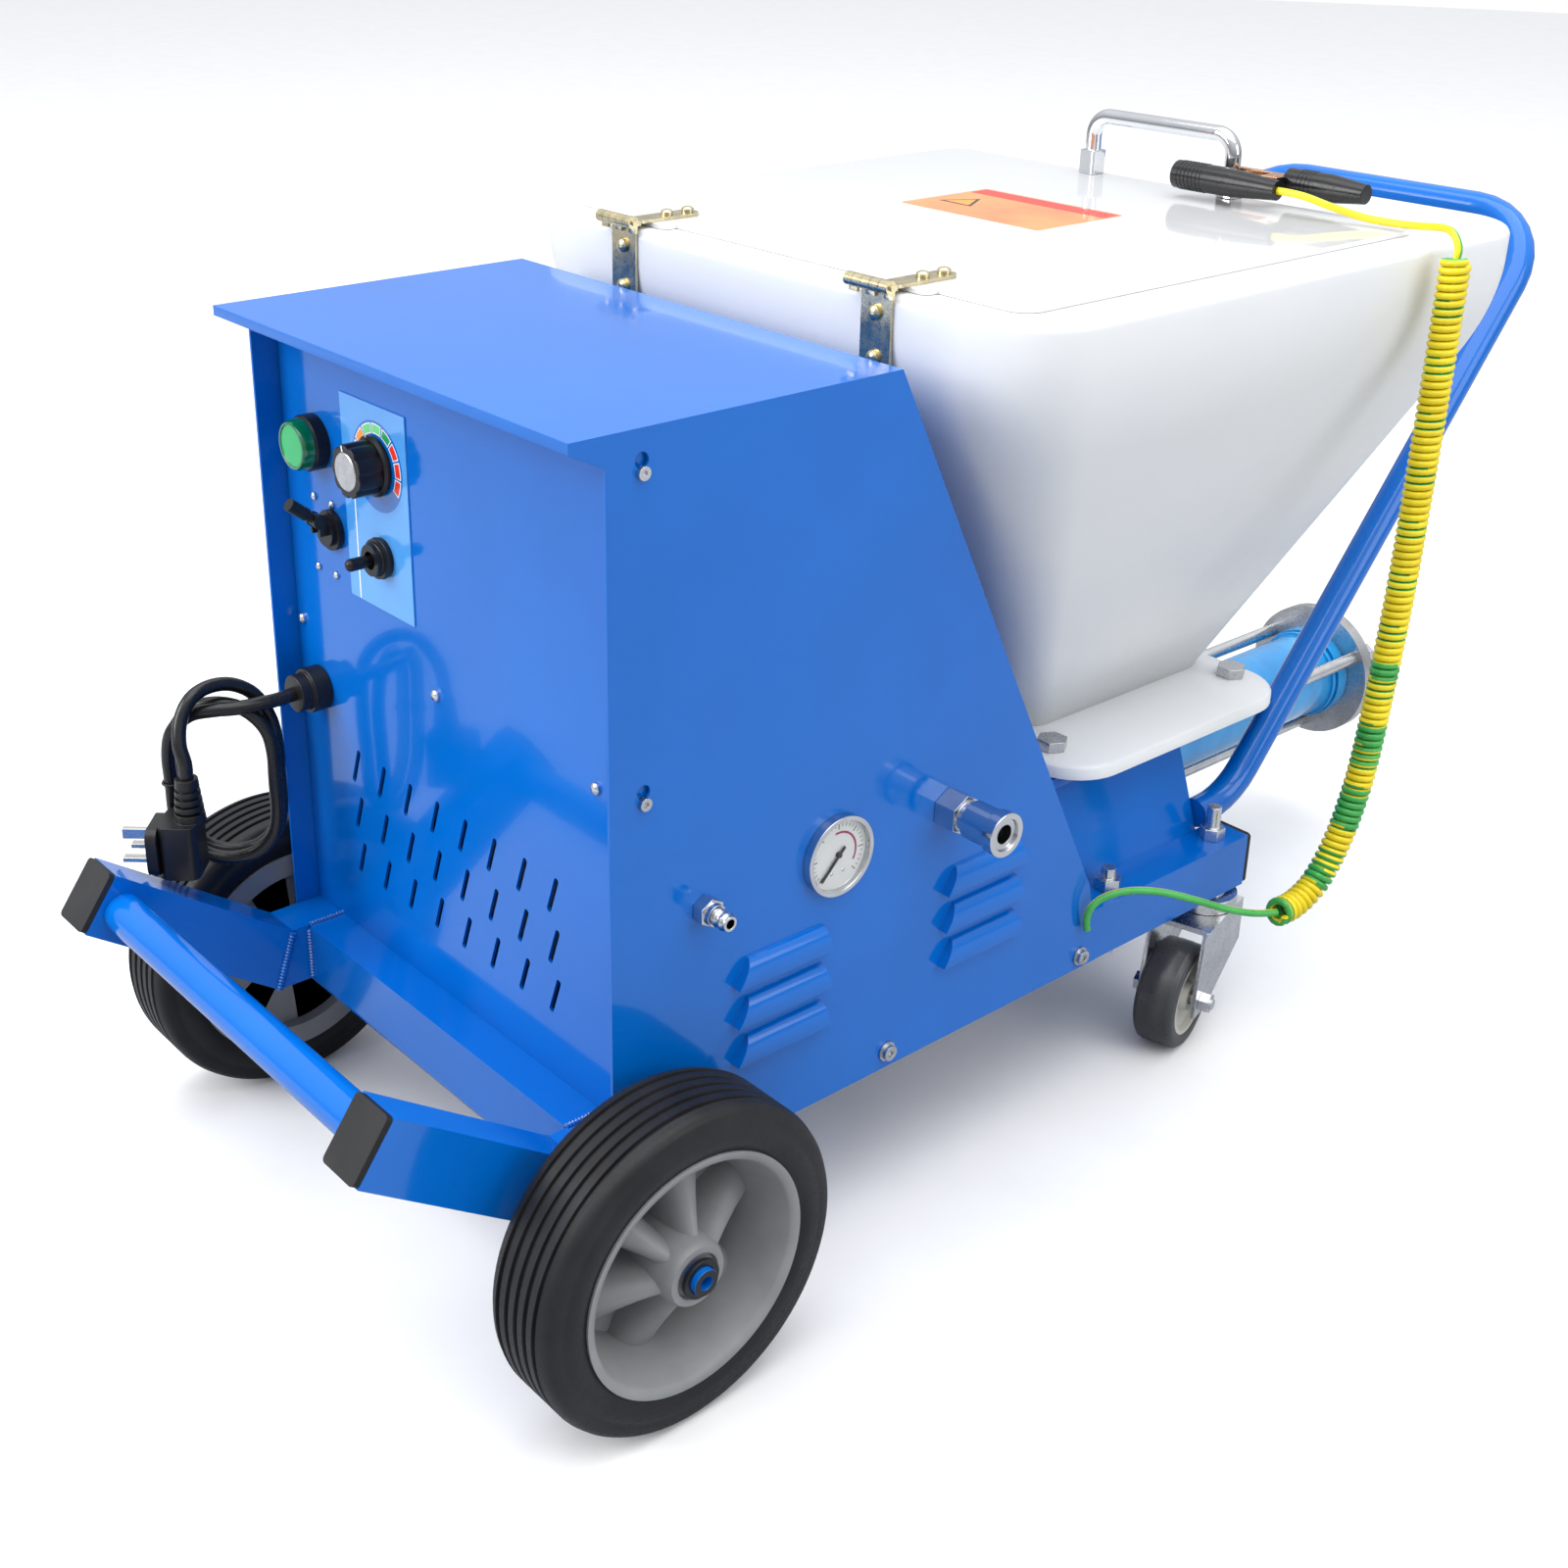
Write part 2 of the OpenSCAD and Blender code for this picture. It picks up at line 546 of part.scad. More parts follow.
// ---- controls ----
module on_panel(x, z) { translate([x, panel_y, z]) children(); }
module pilot_lamp() {
  place() on_panel(lamp_x, lamp_z) {
    color(black) cyl_y(34, -9, -0.1);
    color(black) cyl_y(22, -0.1, 34);
    color("#18a558") cyl_y(31, -17, -9.05);
  }
}
label_x0 = -101; label_x1 = -31; label_z0 = 385.5; label_z1 = 510.5;
module control_label() {
  color("#7fb4ea") place() difference() {
    box([label_x0, panel_y - 0.85, label_z0], [label_x1, panel_y - 0.05, label_z1]);
    on_panel(knob_x, knob_z) cyl_y(11, -5, 5);
    on_panel(toggle_x, toggle_z) cyl_y(12.2, -5, 5);
  }
}
module speed_knob() {
  color(black) place() on_panel(knob_x, knob_z) difference() {
    union() {
      cyl_y(knob_d, -3.9, -1.2);
      difference() {
        cyl_y(knob_d - 4, -21, -3.5);
        for (k = [0:17]) rotate([0, 20*k, 0]) translate([knob_d/2 - 1.4, 0, 0]) cyl_y(3, -22, -5);
      }
    }
    cyl_y(6 + 2*fit, -16, 0);
  }
}
module speed_potentiometer() {
  color(zinc) place() on_panel(knob_x, knob_z) {
    cyl_y(24, sheet + 0.1, 16);
    cyl_y(7, -1.1, sheet + 0.2);
    cyl_y(6, -15, -1);
  }
}
module toggle_body() {
  color(black) place() on_panel(toggle_x, toggle_z) {
    difference() {
      union() {
        cyl_y(24, -6, -0.9);
        cyl_y(19, -10, -5.9);
        cyl_y(12, -1, 6);
        box([-9, sheet + 0.1, -14], [9, 26, 14]);
      }
      cyl_y(11, -11, 0.5);
    }
    translate([0, -1, 0]) cyl_x(2, -5.6, 5.6);
  }
}
module toggle_lever() {
  color(black) place() on_panel(toggle_x, toggle_z) translate([0, -1, 0]) difference() {
    union() {
      cyl_y(6, -21, 0);
      translate([0, -21, 0]) sphere(d = 7.6);
      cyl_y(7.6, -21, -12);
    }
    cyl_x(2 + 2*fit, -8, 8);
  }
}
breaker_pin = [panel_y - 11.5, breaker_z + 8];
module breaker_body() {
  color(black) place() {
    difference() {
      on_panel(breaker_x, breaker_z) {
        cyl_y(25, -4, -0.1);
        cyl_y(19, -7, -3.9);
        cyl_y(12, -0.2, 6);
        box([-22, sheet + 0.1, -30], [12, 40, 16]);
      }
      for (s = breaker_screws) translate([s[0], panel_y, s[1]]) cyl_y(3.2, 0, 12);
    }
    translate([breaker_x, breaker_pin[0], breaker_pin[1]]) {
      for (s = [-1, 1]) translate([4.6*s, 0, 0]) cyl_x(9, -1.2, 1.2);
      for (s = [-1, 1]) box([4.6*s - 1.2, -1, -9], [4.6*s + 1.2, 8, 0]);
      cyl_x(3, -5.8, 5.8);
    }
  }
}
module breaker_lever() {
  color(black) place() translate([breaker_x, breaker_pin[0], breaker_pin[1]]) rotate([-38, 0, 0])
    difference() {
      union() {
        cyl_x(8, -3.1, 3.1);
        cyl_y(6, -9, 0);
        cyl_y(8, -22, -8);
      }
      cyl_x(3 + 2*fit, -8, 8);
    }
}

// ---- drive inside the housing ----
motor_z = pump_z + 76;
module inverter_box() {
  color("#d9d9d4") place() box([10, panel_y + sheet + 0.1, 320], [140, 130, 500]);
}
module gearmotor() {
  color("#6d7276") place() difference() {
    union() {
      translate([0, 0, motor_z]) cyl_y(116, 66, 250);
      translate([0, 0, motor_z]) cyl_y(130, 249, 262);
      translate([0, 0, motor_z]) cyl_y(106, 261, 338);
      translate([0, 0, pump_z]) cyl_y(96, 261, 338);
      box([-52, 261, pump_z], [52, 338, motor_z]);
      box([-45, 80, rail_top + sheet + 0.2], [45, 236, motor_z - 40]);
      box([-40, 120, motor_z + 50], [40, 200, motor_z + 84]);
    }
    translate([0, 0, pump_z]) cyl_y(24 + 2*fit, 290, 340);
  }
}
module drive_shaft() {
  color(steel) place() translate([0, 0, pump_z]) {
    cyl_y(24, 292, trough_y0 + 14);
    cyl_y(38, trough_y0 + 6 + gap, trough_y0 + 30);
  }
}
module bearing_housing() {
  color(zinc) place() translate([0, 0, pump_z]) difference() {
    union() { cyl_y(74, 338.1, trough_y0 - 8); cyl_y(100, trough_y0 - 9, trough_y0 - 0.1); }
    cyl_y(24 + 2*fit, 330, trough_y0 + 1);
  }
}
module suction_housing() {
  y0 = trough_y0; y1 = trough_y1; r = trough_r; t = 5;
  color(blue) place() difference() {
    union() {
      translate([0, 0, pump_z]) cyl_y(2*r, y0, y1);
      box([-r, y0, pump_z], [r, y1, saddle_top]);
      box([-126, y0, saddle_top + 0.1], [126, y1, saddle_top + 7.9]);
      box([-r, y0, saddle_top - 1], [r, y1, saddle_top + 1]);
    }
    translate([0, 0, pump_z]) cyl_y(2*(r - t), y0 + 6, y1 - 10);
    box([-r + t, y0 + 6, pump_z], [r - t, y1 - 10, saddle_top + 9]);
    translate([0, 0, pump_z]) cyl_y(24.6, y0 - 1, y0 + 7);
    translate([0, 0, pump_z]) cyl_y(2*stator_r - 16, y1 - 11, y1 + 1);
    for (x = [-bolt_x, bolt_x], y = bolt_ys) translate([x, y, 200]) cylinder(d = 12.4, h = 40);
    translate([0, 0, pump_z]) for (a = [30, 150, 270]) rotate([0, -a, 0])
      translate([rod_circle, 0, 0]) cyl_y(rod_d - 0.9, y1 - 11, y1 + 1);
  }
}
module stator_tube() {
  color(blue) place() translate([0, 0, pump_z]) difference() {
    union() {
      cyl_y(2*stator_r, stator_y0, stator_y1);
      cyl_y(2*stator_r + 8, stator_y1 - 12, stator_y1);
      cyl_y(2*stator_r + 5, stator_y1 - 18, stator_y1 - 14);
      cyl_y(2*stator_r + 8, stator_y0, stator_y0 + 10);
    }
    cyl_y(2*stator_r - 8, stator_y0 - 1, stator_y1 + 1);
  }
}
module stator_liner() {
  color(rubber) place() translate([0, 0, pump_z]) difference() {
    cyl_y(2*stator_r - 8.1, stator_y0 + 1, stator_y1 - 1);
    cyl_y(34, stator_y0 - 1, stator_y1 + 1);
  }
}
module feed_rotor() {
  y0 = trough_y0 + 30.1;
  color(steel) place() translate([0, 0, pump_z]) {
    cyl_y(26, y0, stator_y0 + 2);
    for (k = [0:5]) translate([0, y0 + 26 + 30*k, 0]) rotate([18, 0, 0]) cyl_y(88, -2, 2);
    for (k = [0:13]) rotate([0, 51.4*k, 0]) translate([3, 0, 0])
      cyl_y(25, stator_y0 + 1 + 16*k, stator_y0 + 17.5 + 16*k);
  }
}
module outlet_flange() {
  color(zinc) place() translate([0, 0, pump_z]) difference() {
    union() { cyl_y(2*outlet_r, outlet_y0, outlet_y); cyl_y(2*outlet_r - 8, outlet_y0, outlet_y + 1.5); }
    cyl_y(outlet_bore, outlet_y0 - 1, outlet_y + 3);
    for (a = [30, 150, 270]) rotate([0, -a, 0]) translate([rod_circle, 0, 0])
      cyl_y(rod_d - 0.9, outlet_y0 - 1, outlet_y + 3);
  }
}
module tie_rods() {
  color(zinc) place() translate([0, 0, pump_z]) for (a = [30, 150, 270]) rotate([0, -a, 0])
    translate([rod_circle, 0, 0]) {
      cyl_y(rod_d - 1, trough_y1 - 9, outlet_y + 9);
      cyl_y(rod_d, trough_y1 + 6, outlet_y0 - 0.1);
      translate([0, outlet_y + 1.6, 0]) rotate([-90, 0, 0]) hex(15, 6.5);
      cyl_y(15, trough_y1 + 0.1, trough_y1 + 8);
    }
}

// ---- hopper and lid ----
module hopper_mass(w, fw, l0, l1, f0, f1, z0, zb, zt, r) {
  hull() {
    translate([0, (l0 + l1)/2, zb]) rbox(w, l1 - l0, 0.5, r);
    translate([0, (f0 + f1)/2, z0]) rbox(fw, f1 - f0, 0.5, r*0.5);
  }
  hull() {
    translate([0, (l0 + l1)/2, zb]) rbox(w, l1 - l0, zt - zb - 6, r);
    translate([0, (l0 + l1)/2, zb]) rbox(w - 8, l1 - l0 - 8, zt - zb, r - 4);
  }
}
module hopper() {
  t = hopper_wall;
  fz = flange_z - flange_t;
  color(white) place() difference() {
    union() {
      hopper_mass(hopper_w, foot_w, hopper_y0, hopper_y1, foot_y0, foot_y1,
        flange_z - 1, band_z, hopper_top, 50);
      translate([0, (flange_y0 + flange_y1)/2, fz + 0.1])
        rbox(flange_w, flange_y1 - flange_y0, flange_t - 0.1, 40);
    }
    hopper_mass(hopper_w - 2*t, foot_w - 2*t, hopper_y0 + t, hopper_y1 - t, foot_y0 + t, foot_y1 - t,
      flange_z - 2, band_z, hopper_top - t, 44);
    translate([0, (foot_y0 + foot_y1)/2, fz - 1]) rbox(foot_w - 2*t, foot_l - 2*t, flange_t + 2, 22);
    translate([0, lid_y0 + lid_l/2 + 2, hopper_top - t - 1]) rbox(lid_w - 40, lid_l - 40, t + 3, 20);
    for (x = [-bolt_x, bolt_x], y = bolt_ys) translate([x, y, fz - 1]) cylinder(d = 12.6, h = 20);
    for (x = [-hinge_x, hinge_x], z = [566, 540]) translate([x, hopper_y0 - 1, z]) cyl_y(4.2, 0, t + 2);
  }
}
module hopper_bolts() {
  color(zinc) place() {
    for (x = [-bolt_x, bolt_x], y = bolt_ys) translate([x, y, 0]) {
      translate([0, 0, saddle_top - 8]) cylinder(d = bolt_d, h = flange_z - saddle_top + 9);
      translate([0, 0, flange_z + 0.1]) hex(19, 7.5);
    }
    for (x = [-bolt_x, bolt_x]) translate([x, bolt_ys[1], saddle_top - 10]) hex(19, 9.9);
  }
}
module hopper_lid() {
  r = 14;
  color(white) place() difference() {
    union() {
      translate([0, lid_y0 + lid_l/2, lid_z]) rbox(lid_w, lid_l, lid_t, r);
      for (s = [-1, 1]) translate([s*hinge_x + 4, lid_y0, lid_z]) rbox(40, 20, lid_t, 6);
    }
    for (s = [-1, 1], y = leaf_screws) translate([s*hinge_x + 4, y, lid_z - 1]) cylinder(d = 4.2, h = 6);
  }
}
// Hinge parts: barrel split into fixed and moving knuckles along X
knuckle_w = 7;
leaf_screws = [hopper_y0 + 30, hopper_y0 + 47];
module knuckles(first) {
  for (k = [first:2:4]) cyl_x(barrel_d, (k - 2.5)*knuckle_w + gap/2, (k - 1.5)*knuckle_w - gap/2);
}
module lid_hinge_straps() {
  strap_z = 488;
  color(brass) place() for (s = [-1, 1]) translate([s*hinge_x, 0, 0]) {
    difference() {
      union() {
        box([-hinge_w/2, hopper_y0 - 2.1, strap_z], [hinge_w/2, hopper_y0 - 0.1, hinge_z - 3]);
        translate([-3, hinge_y, hinge_z]) knuckles(0);
        for (k = [0, 2, 4]) translate([-3 + (k - 2)*knuckle_w, 0, 0])
          box([-knuckle_w/2 + gap/2, hopper_y0 - 4, hinge_z - 7], [knuckle_w/2 - gap/2, hopper_y0 - 2, hinge_z - 1]);
      }
      translate([0, hinge_y, hinge_z]) cyl_x(pin_d - 0.4, -30, 30);
    }
    translate([-3, hinge_y, hinge_z]) cyl_x(pin_d, -2.5*knuckle_w - 1.5, 2.5*knuckle_w + 1.5);
    for (z = [566, 540]) translate([0, hopper_y0 - 2.05, z]) pan_screw(4, 9, 8);
  }
}
module lid_hinge_leaves() {
  color(brass) place() for (s = [-1, 1]) translate([s*hinge_x, 0, 0]) {
    difference() {
      union() {
        translate([-3, hinge_y, hinge_z]) knuckles(1);
        translate([4, hopper_y0 + 26.6, lid_top + 0.1]) rbox(15, 54, 2, 7);
        for (k = [1, 3]) translate([-3 + (k - 2)*knuckle_w, 0, 0])
          box([-knuckle_w/2 + gap/2, hinge_y, hinge_z - 3], [knuckle_w/2 - gap/2, hopper_y0 + 1, hinge_z - 1.2]);
        box([-3 - 1.5*knuckle_w + gap/2, hinge_y + barrel_d/2 + gap, lid_top - 1],
          [11.5, hopper_y0 + 3, lid_top + 2.1]);
      }
      translate([-3, hinge_y, hinge_z]) cyl_x(pin_d + 2*fit, -30, 30);
    }
    for (y = leaf_screws) translate([4, y, lid_top + 2.15]) rotate([-90, 0, 0]) pan_screw(4, 8, 5);
  }
}
module lid_handle() {
  r = 14;
  h = lid_grip_z - lid_top - lid_grip_d/2;
  color(zinc) place() translate([0, lid_grip_y, lid_top]) union() {
    both_sides() {
      translate([lid_grip_x, 0, 0.1]) rbox_c(14, 14, 17);
      translate([lid_grip_x, 0, 1]) cylinder(d = lid_grip_d, h = h - r - 1);
      translate([lid_grip_x - r, 0, h - r]) rotate([90, 0, 0]) rotate_extrude(angle = 90)
        translate([r, 0]) circle(d = lid_grip_d);
    }
    translate([0, 0, h]) cyl_x(lid_grip_d, -lid_grip_x + r, lid_grip_x - r);
  }
}
module rbox_c(w, l, h) { rbox(w, l, h, 2); }

// ---- air fittings on the side panel ----
module pressure_gauge() {
  place() translate([hood_x, gauge_y, fit_z]) {
    color(zinc) difference() {
      union() { cyl_x(gauge_d, 0.05, 6); cyl_x(gauge_d - 3.2, -24, 0.1); }
      cyl_x(gauge_d - 6, 2, 7);
      cyl_x(3 + 2*fit, -1, 4);
    }
    color(brass) translate([-12, 0, 0]) cyl_x(14, -13, -11.9);
  }
}
needle_a = 135;
module gauge_needle() {
  color(black) place() translate([hood_x, gauge_y, fit_z]) {
    cyl_x(3, 0, 4.2);
    rotate([needle_a, 0, 0]) box([3, -0.8, -6], [3.8, 0.8, gauge_d/2 - 6]);
  }
}
module air_line() {
  color(brass) place() translate([hood_x, 0, fit_z]) {
    translate([-32, 0, 0]) cyl_y(13, nipple_y - 10, coupler_y + 10);
    difference() {
      translate([0, nipple_y, 0]) union() {
        cyl_x(12, -26, 1);
        translate([0.1, 0, 0]) rotate([0, 90, 0]) hex(15, 8);
        cyl_x(13, 8, 12);
        cyl_x(9, 11, 23);
        translate([14, 0, 0]) rotate([0, 90, 0]) cylinder(d1 = 11.6, d2 = 8.6, h = 4);
        translate([19, 0, 0]) rotate([0, 90, 0]) cylinder(d1 = 11.6, d2 = 8.6, h = 4);
      }
      translate([0, nipple_y, 0]) cyl_x(5.5, -20, 30);
    }
    translate([0, gauge_y, 0]) cyl_x(10, -26, -25.1);
    difference() {
      translate([0, coupler_y, 0]) union() {
        cyl_x(12, -26, 1);
        translate([0.1, 0, 0]) rotate([0, 90, 0]) hex(23, 16);
        cyl_x(20, 16, 46);
      }
      translate([0, coupler_y, 0]) cyl_x(12, 20, 50);
    }
  }
}
sleeve_slide = 4;
module coupler_sleeve() {
  color(zinc) place() translate([hood_x, coupler_y, fit_z]) difference() {
    union() {
      cyl_x(sleeve_d - 2.5, 21, 44);
      cyl_x(sleeve_d + 1, 40, 48);
    }
    cyl_x(20 + 2*fit, 10, 60);
  }
}

// ---- earth clamp on the lid handle ----
clamp_z = lid_top + 15;
clamp_pin = [99, lid_grip_y - 3];
clamp_pin_d = 4;
grip_y = lid_grip_y - 24;
grip_x = [35, 117];
jaw_x = [57, 85, 104];
jaw_face = 7.1;
// Rubber grip along +X with a tapered end
module clamp_grip(l) {
  cyl_x(19, 0, l*0.55);
  translate([l*0.55, 0, 0]) rotate([0, 90, 0]) cylinder(d1 = 19, d2 = 13, h = l*0.45);
}
module earth_clamp_body() {
  f = lid_grip_y - jaw_face;
  place() translate([0, 0, clamp_z]) {
    color(black) translate([grip_x[0], grip_y, 0]) clamp_grip(grip_x[1] - grip_x[0]);
    color("#b5653a") union() {
      box([jaw_x[0], grip_y + 9.6, -5], [jaw_x[1], f, 5]);
      box([jaw_x[0], grip_y + 9.6, -5], [jaw_x[2], f, -gap/2]);
      box([92, grip_y + 9.6, -5], [jaw_x[2], clamp_pin[1] + 3.6, -gap/2]);
      translate([clamp_pin[0], clamp_pin[1], -5.5]) cylinder(d = clamp_pin_d, h = 11);
    }
  }
}
module earth_clamp_jaw() {
  f = lid_grip_y + jaw_face + 0.1;
  place() translate([0, 0, clamp_z]) {
    color(black) translate([jaw_x[2] - 3, f + 4.5, 0]) clamp_grip(60);
    color("#b5653a") difference() {
      union() {
        box([jaw_x[0], f, -5], [jaw_x[1], f + 5, 5]);
        box([jaw_x[0], f, gap/2], [jaw_x[2] - 3.1, f + 5, 5]);
        box([90, clamp_pin[1] - 5, gap/2], [jaw_x[2] - 3.1, f + 1, 5]);
        box([90, clamp_pin[1] - 5, gap/2], [jaw_x[2], clamp_pin[1] + 4.8, 5]);
      }
      translate([clamp_pin[0], clamp_pin[1], -10]) cylinder(d = clamp_pin_d + 2*fit, h = 20);
    }
  }
}

// ---- earth lead: routes are chosen points, y behind the wheel axle ----
lead_d = 5;
coil_d = 20;
lead_low = [[179.5, 387, 140.1], [180, 385, 150], [182, 387, 159], [186, 396, 165], [194, 412, 167],
  [204, 432, 163], [215, 454, 154], [226, 476, 144], [234, 496, 137], [240, 514.5, 133.5]];
coil_route = [[240, 514, 133.5], [241, 532, 134], [243, 549, 143], [245, 563, 162], [247, 574, 190],
  [249, 582, 230], [250, 588, 290], [251, 592, 350], [251, 595, 420], [251, 597, 500], [251, 598, 572]];
lead_top = [[251, 598, 572.4], [251, 599, 578], [248, 600, 584], [242, 602, 588], [232, 606, 588],
  [216, 609, 586], [196, 609, 585], [176, 606, 586], [156, 601, 590], [136, 597, 594.5], [117.1, 596, 595.3]];
module earth_lead_lower() {
  bolt = side_bolts[1];
  color(yellow) place() { sweep(lead_low, lead_d, 8); sweep(coil_route, coil_d, 12); }
  color(zinc) place() translate([hood_x, bolt[0], bolt[1]]) union() {
    difference() {
      cyl_x(16, 1.5, 2.7);
      cyl_x(10.4, 0, 4);
    }
    box([1.5, -3, 6.5], [2.7, 3, 10]);
    translate([4.5, 0, 9]) cylinder(d = 7, h = 13);
  }
}
module earth_lead_upper() { color(yellow) place() sweep(lead_top, lead_d, 8); }

// ---- power cord: points are [across, back, up] in a frame turned to follow the bundle ----
cord_d = 9;
bundle_turn = 49;
module at_bundle() { translate([-170, -48, 0]) rotate([0, 0, bundle_turn]) children(); }
cord_in = [[44.7, 9.7, 308], [36, 2, 307.5], [24, -5, 307], [12, -10, 306.5], [0, -12, 306]];
cord_turn = [[-16, 302], [-28, 290], [-32, 274], [-32, 253], [-32, 232], [-28, 216], [-16, 204], [0, 200],
  [16, 204], [28, 216], [32, 232], [32, 253], [32, 274], [28, 290], [16, 302], [0, 306]];
cord_pitch = 10.6;
cord_out = [[29, 8, 292], [20, 8.5, 308], [8, 3, 317], [-4, -6, 319], [-13, -16, 315], [-18, -24, 304],
  [-18, -31, 291], [-15, -34, 280], [-15, -34, 270.3]];
cord_route = concat(cord_in, [for (k = [0:28]) let (p = cord_turn[k % 16])
  [p[0], -12 + cord_pitch*(k + 1)/16, p[1]]], cord_out);
tie_z = 253;
module cable_gland() {
  color(black) place() on_panel(gland_x, gland_z) {
    cyl_y(29, -12, -0.1);
    cyl_y(24, -20, -11.9);
    cyl_y(16, -0.2, 14);
  }
}
module power_cord() {
  r = cord_d/2 + 0.3;
  color(black) place() at_bundle() {
    sweep(cord_route, cord_d, 10);
    translate([-32, -9.35, tie_z]) difference() {
      union() {
        for (b = [0, cord_pitch]) translate([0, b, 0]) cylinder(r = r + 1.2, h = 3);
        box([-r - 1.2, 0, 0], [r + 1.2, cord_pitch, 3]);
      }
      for (b = [0, cord_pitch]) translate([0, b, -1]) cylinder(r = r, h = 5);
      box([-r, 0, -1], [r, cord_pitch, 5]);
    }
  }
}
plug_z = 206;
module power_plug() {
  place() at_bundle() translate([-15, -34, plug_z]) {
    color(black) difference() {
      union() {
        translate([-6, 0, 0]) rbox(24, 30, 36, 6);
        translate([-18, 0, 18]) rotate([0, -90, 0]) rbox(32, 33, 7, 7);
        translate([0, 0, 34]) cylinder(d1 = 20, d2 = 14, h = 30);
      }
      for (k = [0:3]) translate([0, 0, 41 + 5*k]) difference() {
        cylinder(d = 30, h = 2);
        cylinder(d = 12, h = 2);
      }
    }
    color(brass) {
      box([-43, -2, 22], [-25.1, 2, 29]);
      for (b = [-9, 9]) box([-41, b - 3, 11], [-25.1, b + 3, 14]);
    }
  }
}

left_frame_rail();
right_frame_rail();
front_cross_tube();
bumper_cross_bar();
tube_end_caps();
saddle_bracket();
push_handle();
wheel_axle();
axle_lock_caps();
wheel_spacers();
left_tyre();
left_wheel_hub();
right_tyre();
right_wheel_hub();
caster_swivel_heads();
left_caster_fork();
left_caster_wheel();
right_caster_fork();
right_caster_wheel();
housing_hood();
front_panel();
rear_panel();
floor_pan();
panel_screws();
housing_bolts();
pilot_lamp();
control_label();
speed_knob();
speed_potentiometer();
toggle_body();
toggle_lever();
breaker_body();
breaker_lever();
inverter_box();
gearmotor();
drive_shaft();
bearing_housing();
suction_housing();
stator_tube();
stator_liner();
feed_rotor();
outlet_flange();
tie_rods();
hopper();
hopper_bolts();
hopper_lid();
lid_hinge_straps();
lid_hinge_leaves();
lid_handle();
pressure_gauge();
gauge_needle();
air_line();
coupler_sleeve();
earth_clamp_body();
earth_clamp_jaw();
earth_lead_lower();
earth_lead_upper();
cable_gland();
power_cord();
power_plug();
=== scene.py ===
"""Looks for the hopper-fed pump cart: camera, light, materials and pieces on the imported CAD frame."""

import json
import math

import bmesh
import bpy
from mathutils import Matrix, Vector

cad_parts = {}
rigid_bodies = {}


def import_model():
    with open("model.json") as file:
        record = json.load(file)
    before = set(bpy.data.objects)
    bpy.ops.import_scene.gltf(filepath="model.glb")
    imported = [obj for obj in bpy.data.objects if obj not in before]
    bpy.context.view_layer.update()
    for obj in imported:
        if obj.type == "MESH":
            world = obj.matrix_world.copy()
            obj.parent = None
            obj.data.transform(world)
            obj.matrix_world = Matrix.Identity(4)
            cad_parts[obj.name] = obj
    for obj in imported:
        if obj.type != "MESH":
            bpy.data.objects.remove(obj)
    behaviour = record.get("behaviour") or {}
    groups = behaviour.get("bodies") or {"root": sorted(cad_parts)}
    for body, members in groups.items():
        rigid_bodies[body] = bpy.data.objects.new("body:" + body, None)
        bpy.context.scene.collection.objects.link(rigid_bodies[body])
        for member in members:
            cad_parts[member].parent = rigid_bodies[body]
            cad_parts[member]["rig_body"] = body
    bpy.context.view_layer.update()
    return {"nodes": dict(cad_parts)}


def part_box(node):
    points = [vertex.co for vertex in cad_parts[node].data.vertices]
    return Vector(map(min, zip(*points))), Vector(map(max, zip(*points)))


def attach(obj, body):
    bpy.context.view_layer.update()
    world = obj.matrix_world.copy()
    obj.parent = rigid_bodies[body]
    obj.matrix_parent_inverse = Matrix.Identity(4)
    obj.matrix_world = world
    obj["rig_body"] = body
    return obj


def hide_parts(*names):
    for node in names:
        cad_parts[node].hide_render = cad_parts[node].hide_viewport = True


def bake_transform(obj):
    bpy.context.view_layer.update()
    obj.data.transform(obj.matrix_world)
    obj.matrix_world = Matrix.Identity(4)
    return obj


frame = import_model()

# Sizes and places are in mm, made metres by MM or at(), unless a comment says otherwise.
MM = 0.001
AXLE_LOW, AXLE_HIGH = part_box("wheel_axle")
AXLE_Y = (AXLE_LOW.y + AXLE_HIGH.y) / 2  # y of the wheel axle in the row frame


def at(x, y, z):
    """A point in the row frame, in metres, from millimetres with y measured behind the wheel axle."""
    return Vector((x * MM, AXLE_Y + y * MM, z * MM))


def millimetres(point):
    """The reverse of at()."""
    return Vector((point.x, point.y - AXLE_Y, point.z)) / MM


# ---------------------------------------------------------------- camera, fitted to the photograph
CAMERA_PLACE = at(906.6, -553.6, 826.6)
CAMERA_TURN, CAMERA_TILT, CAMERA_ROLL = 48.98, 23.17, 0.91  # degrees
LENS, SENSOR = 46.32, 36.0  # mm
SHIFT_X, SHIFT_Y = 0.0270, -0.0760  # shares of the sensor's width
CLIP_START, CLIP_END = 0.05, 50  # m


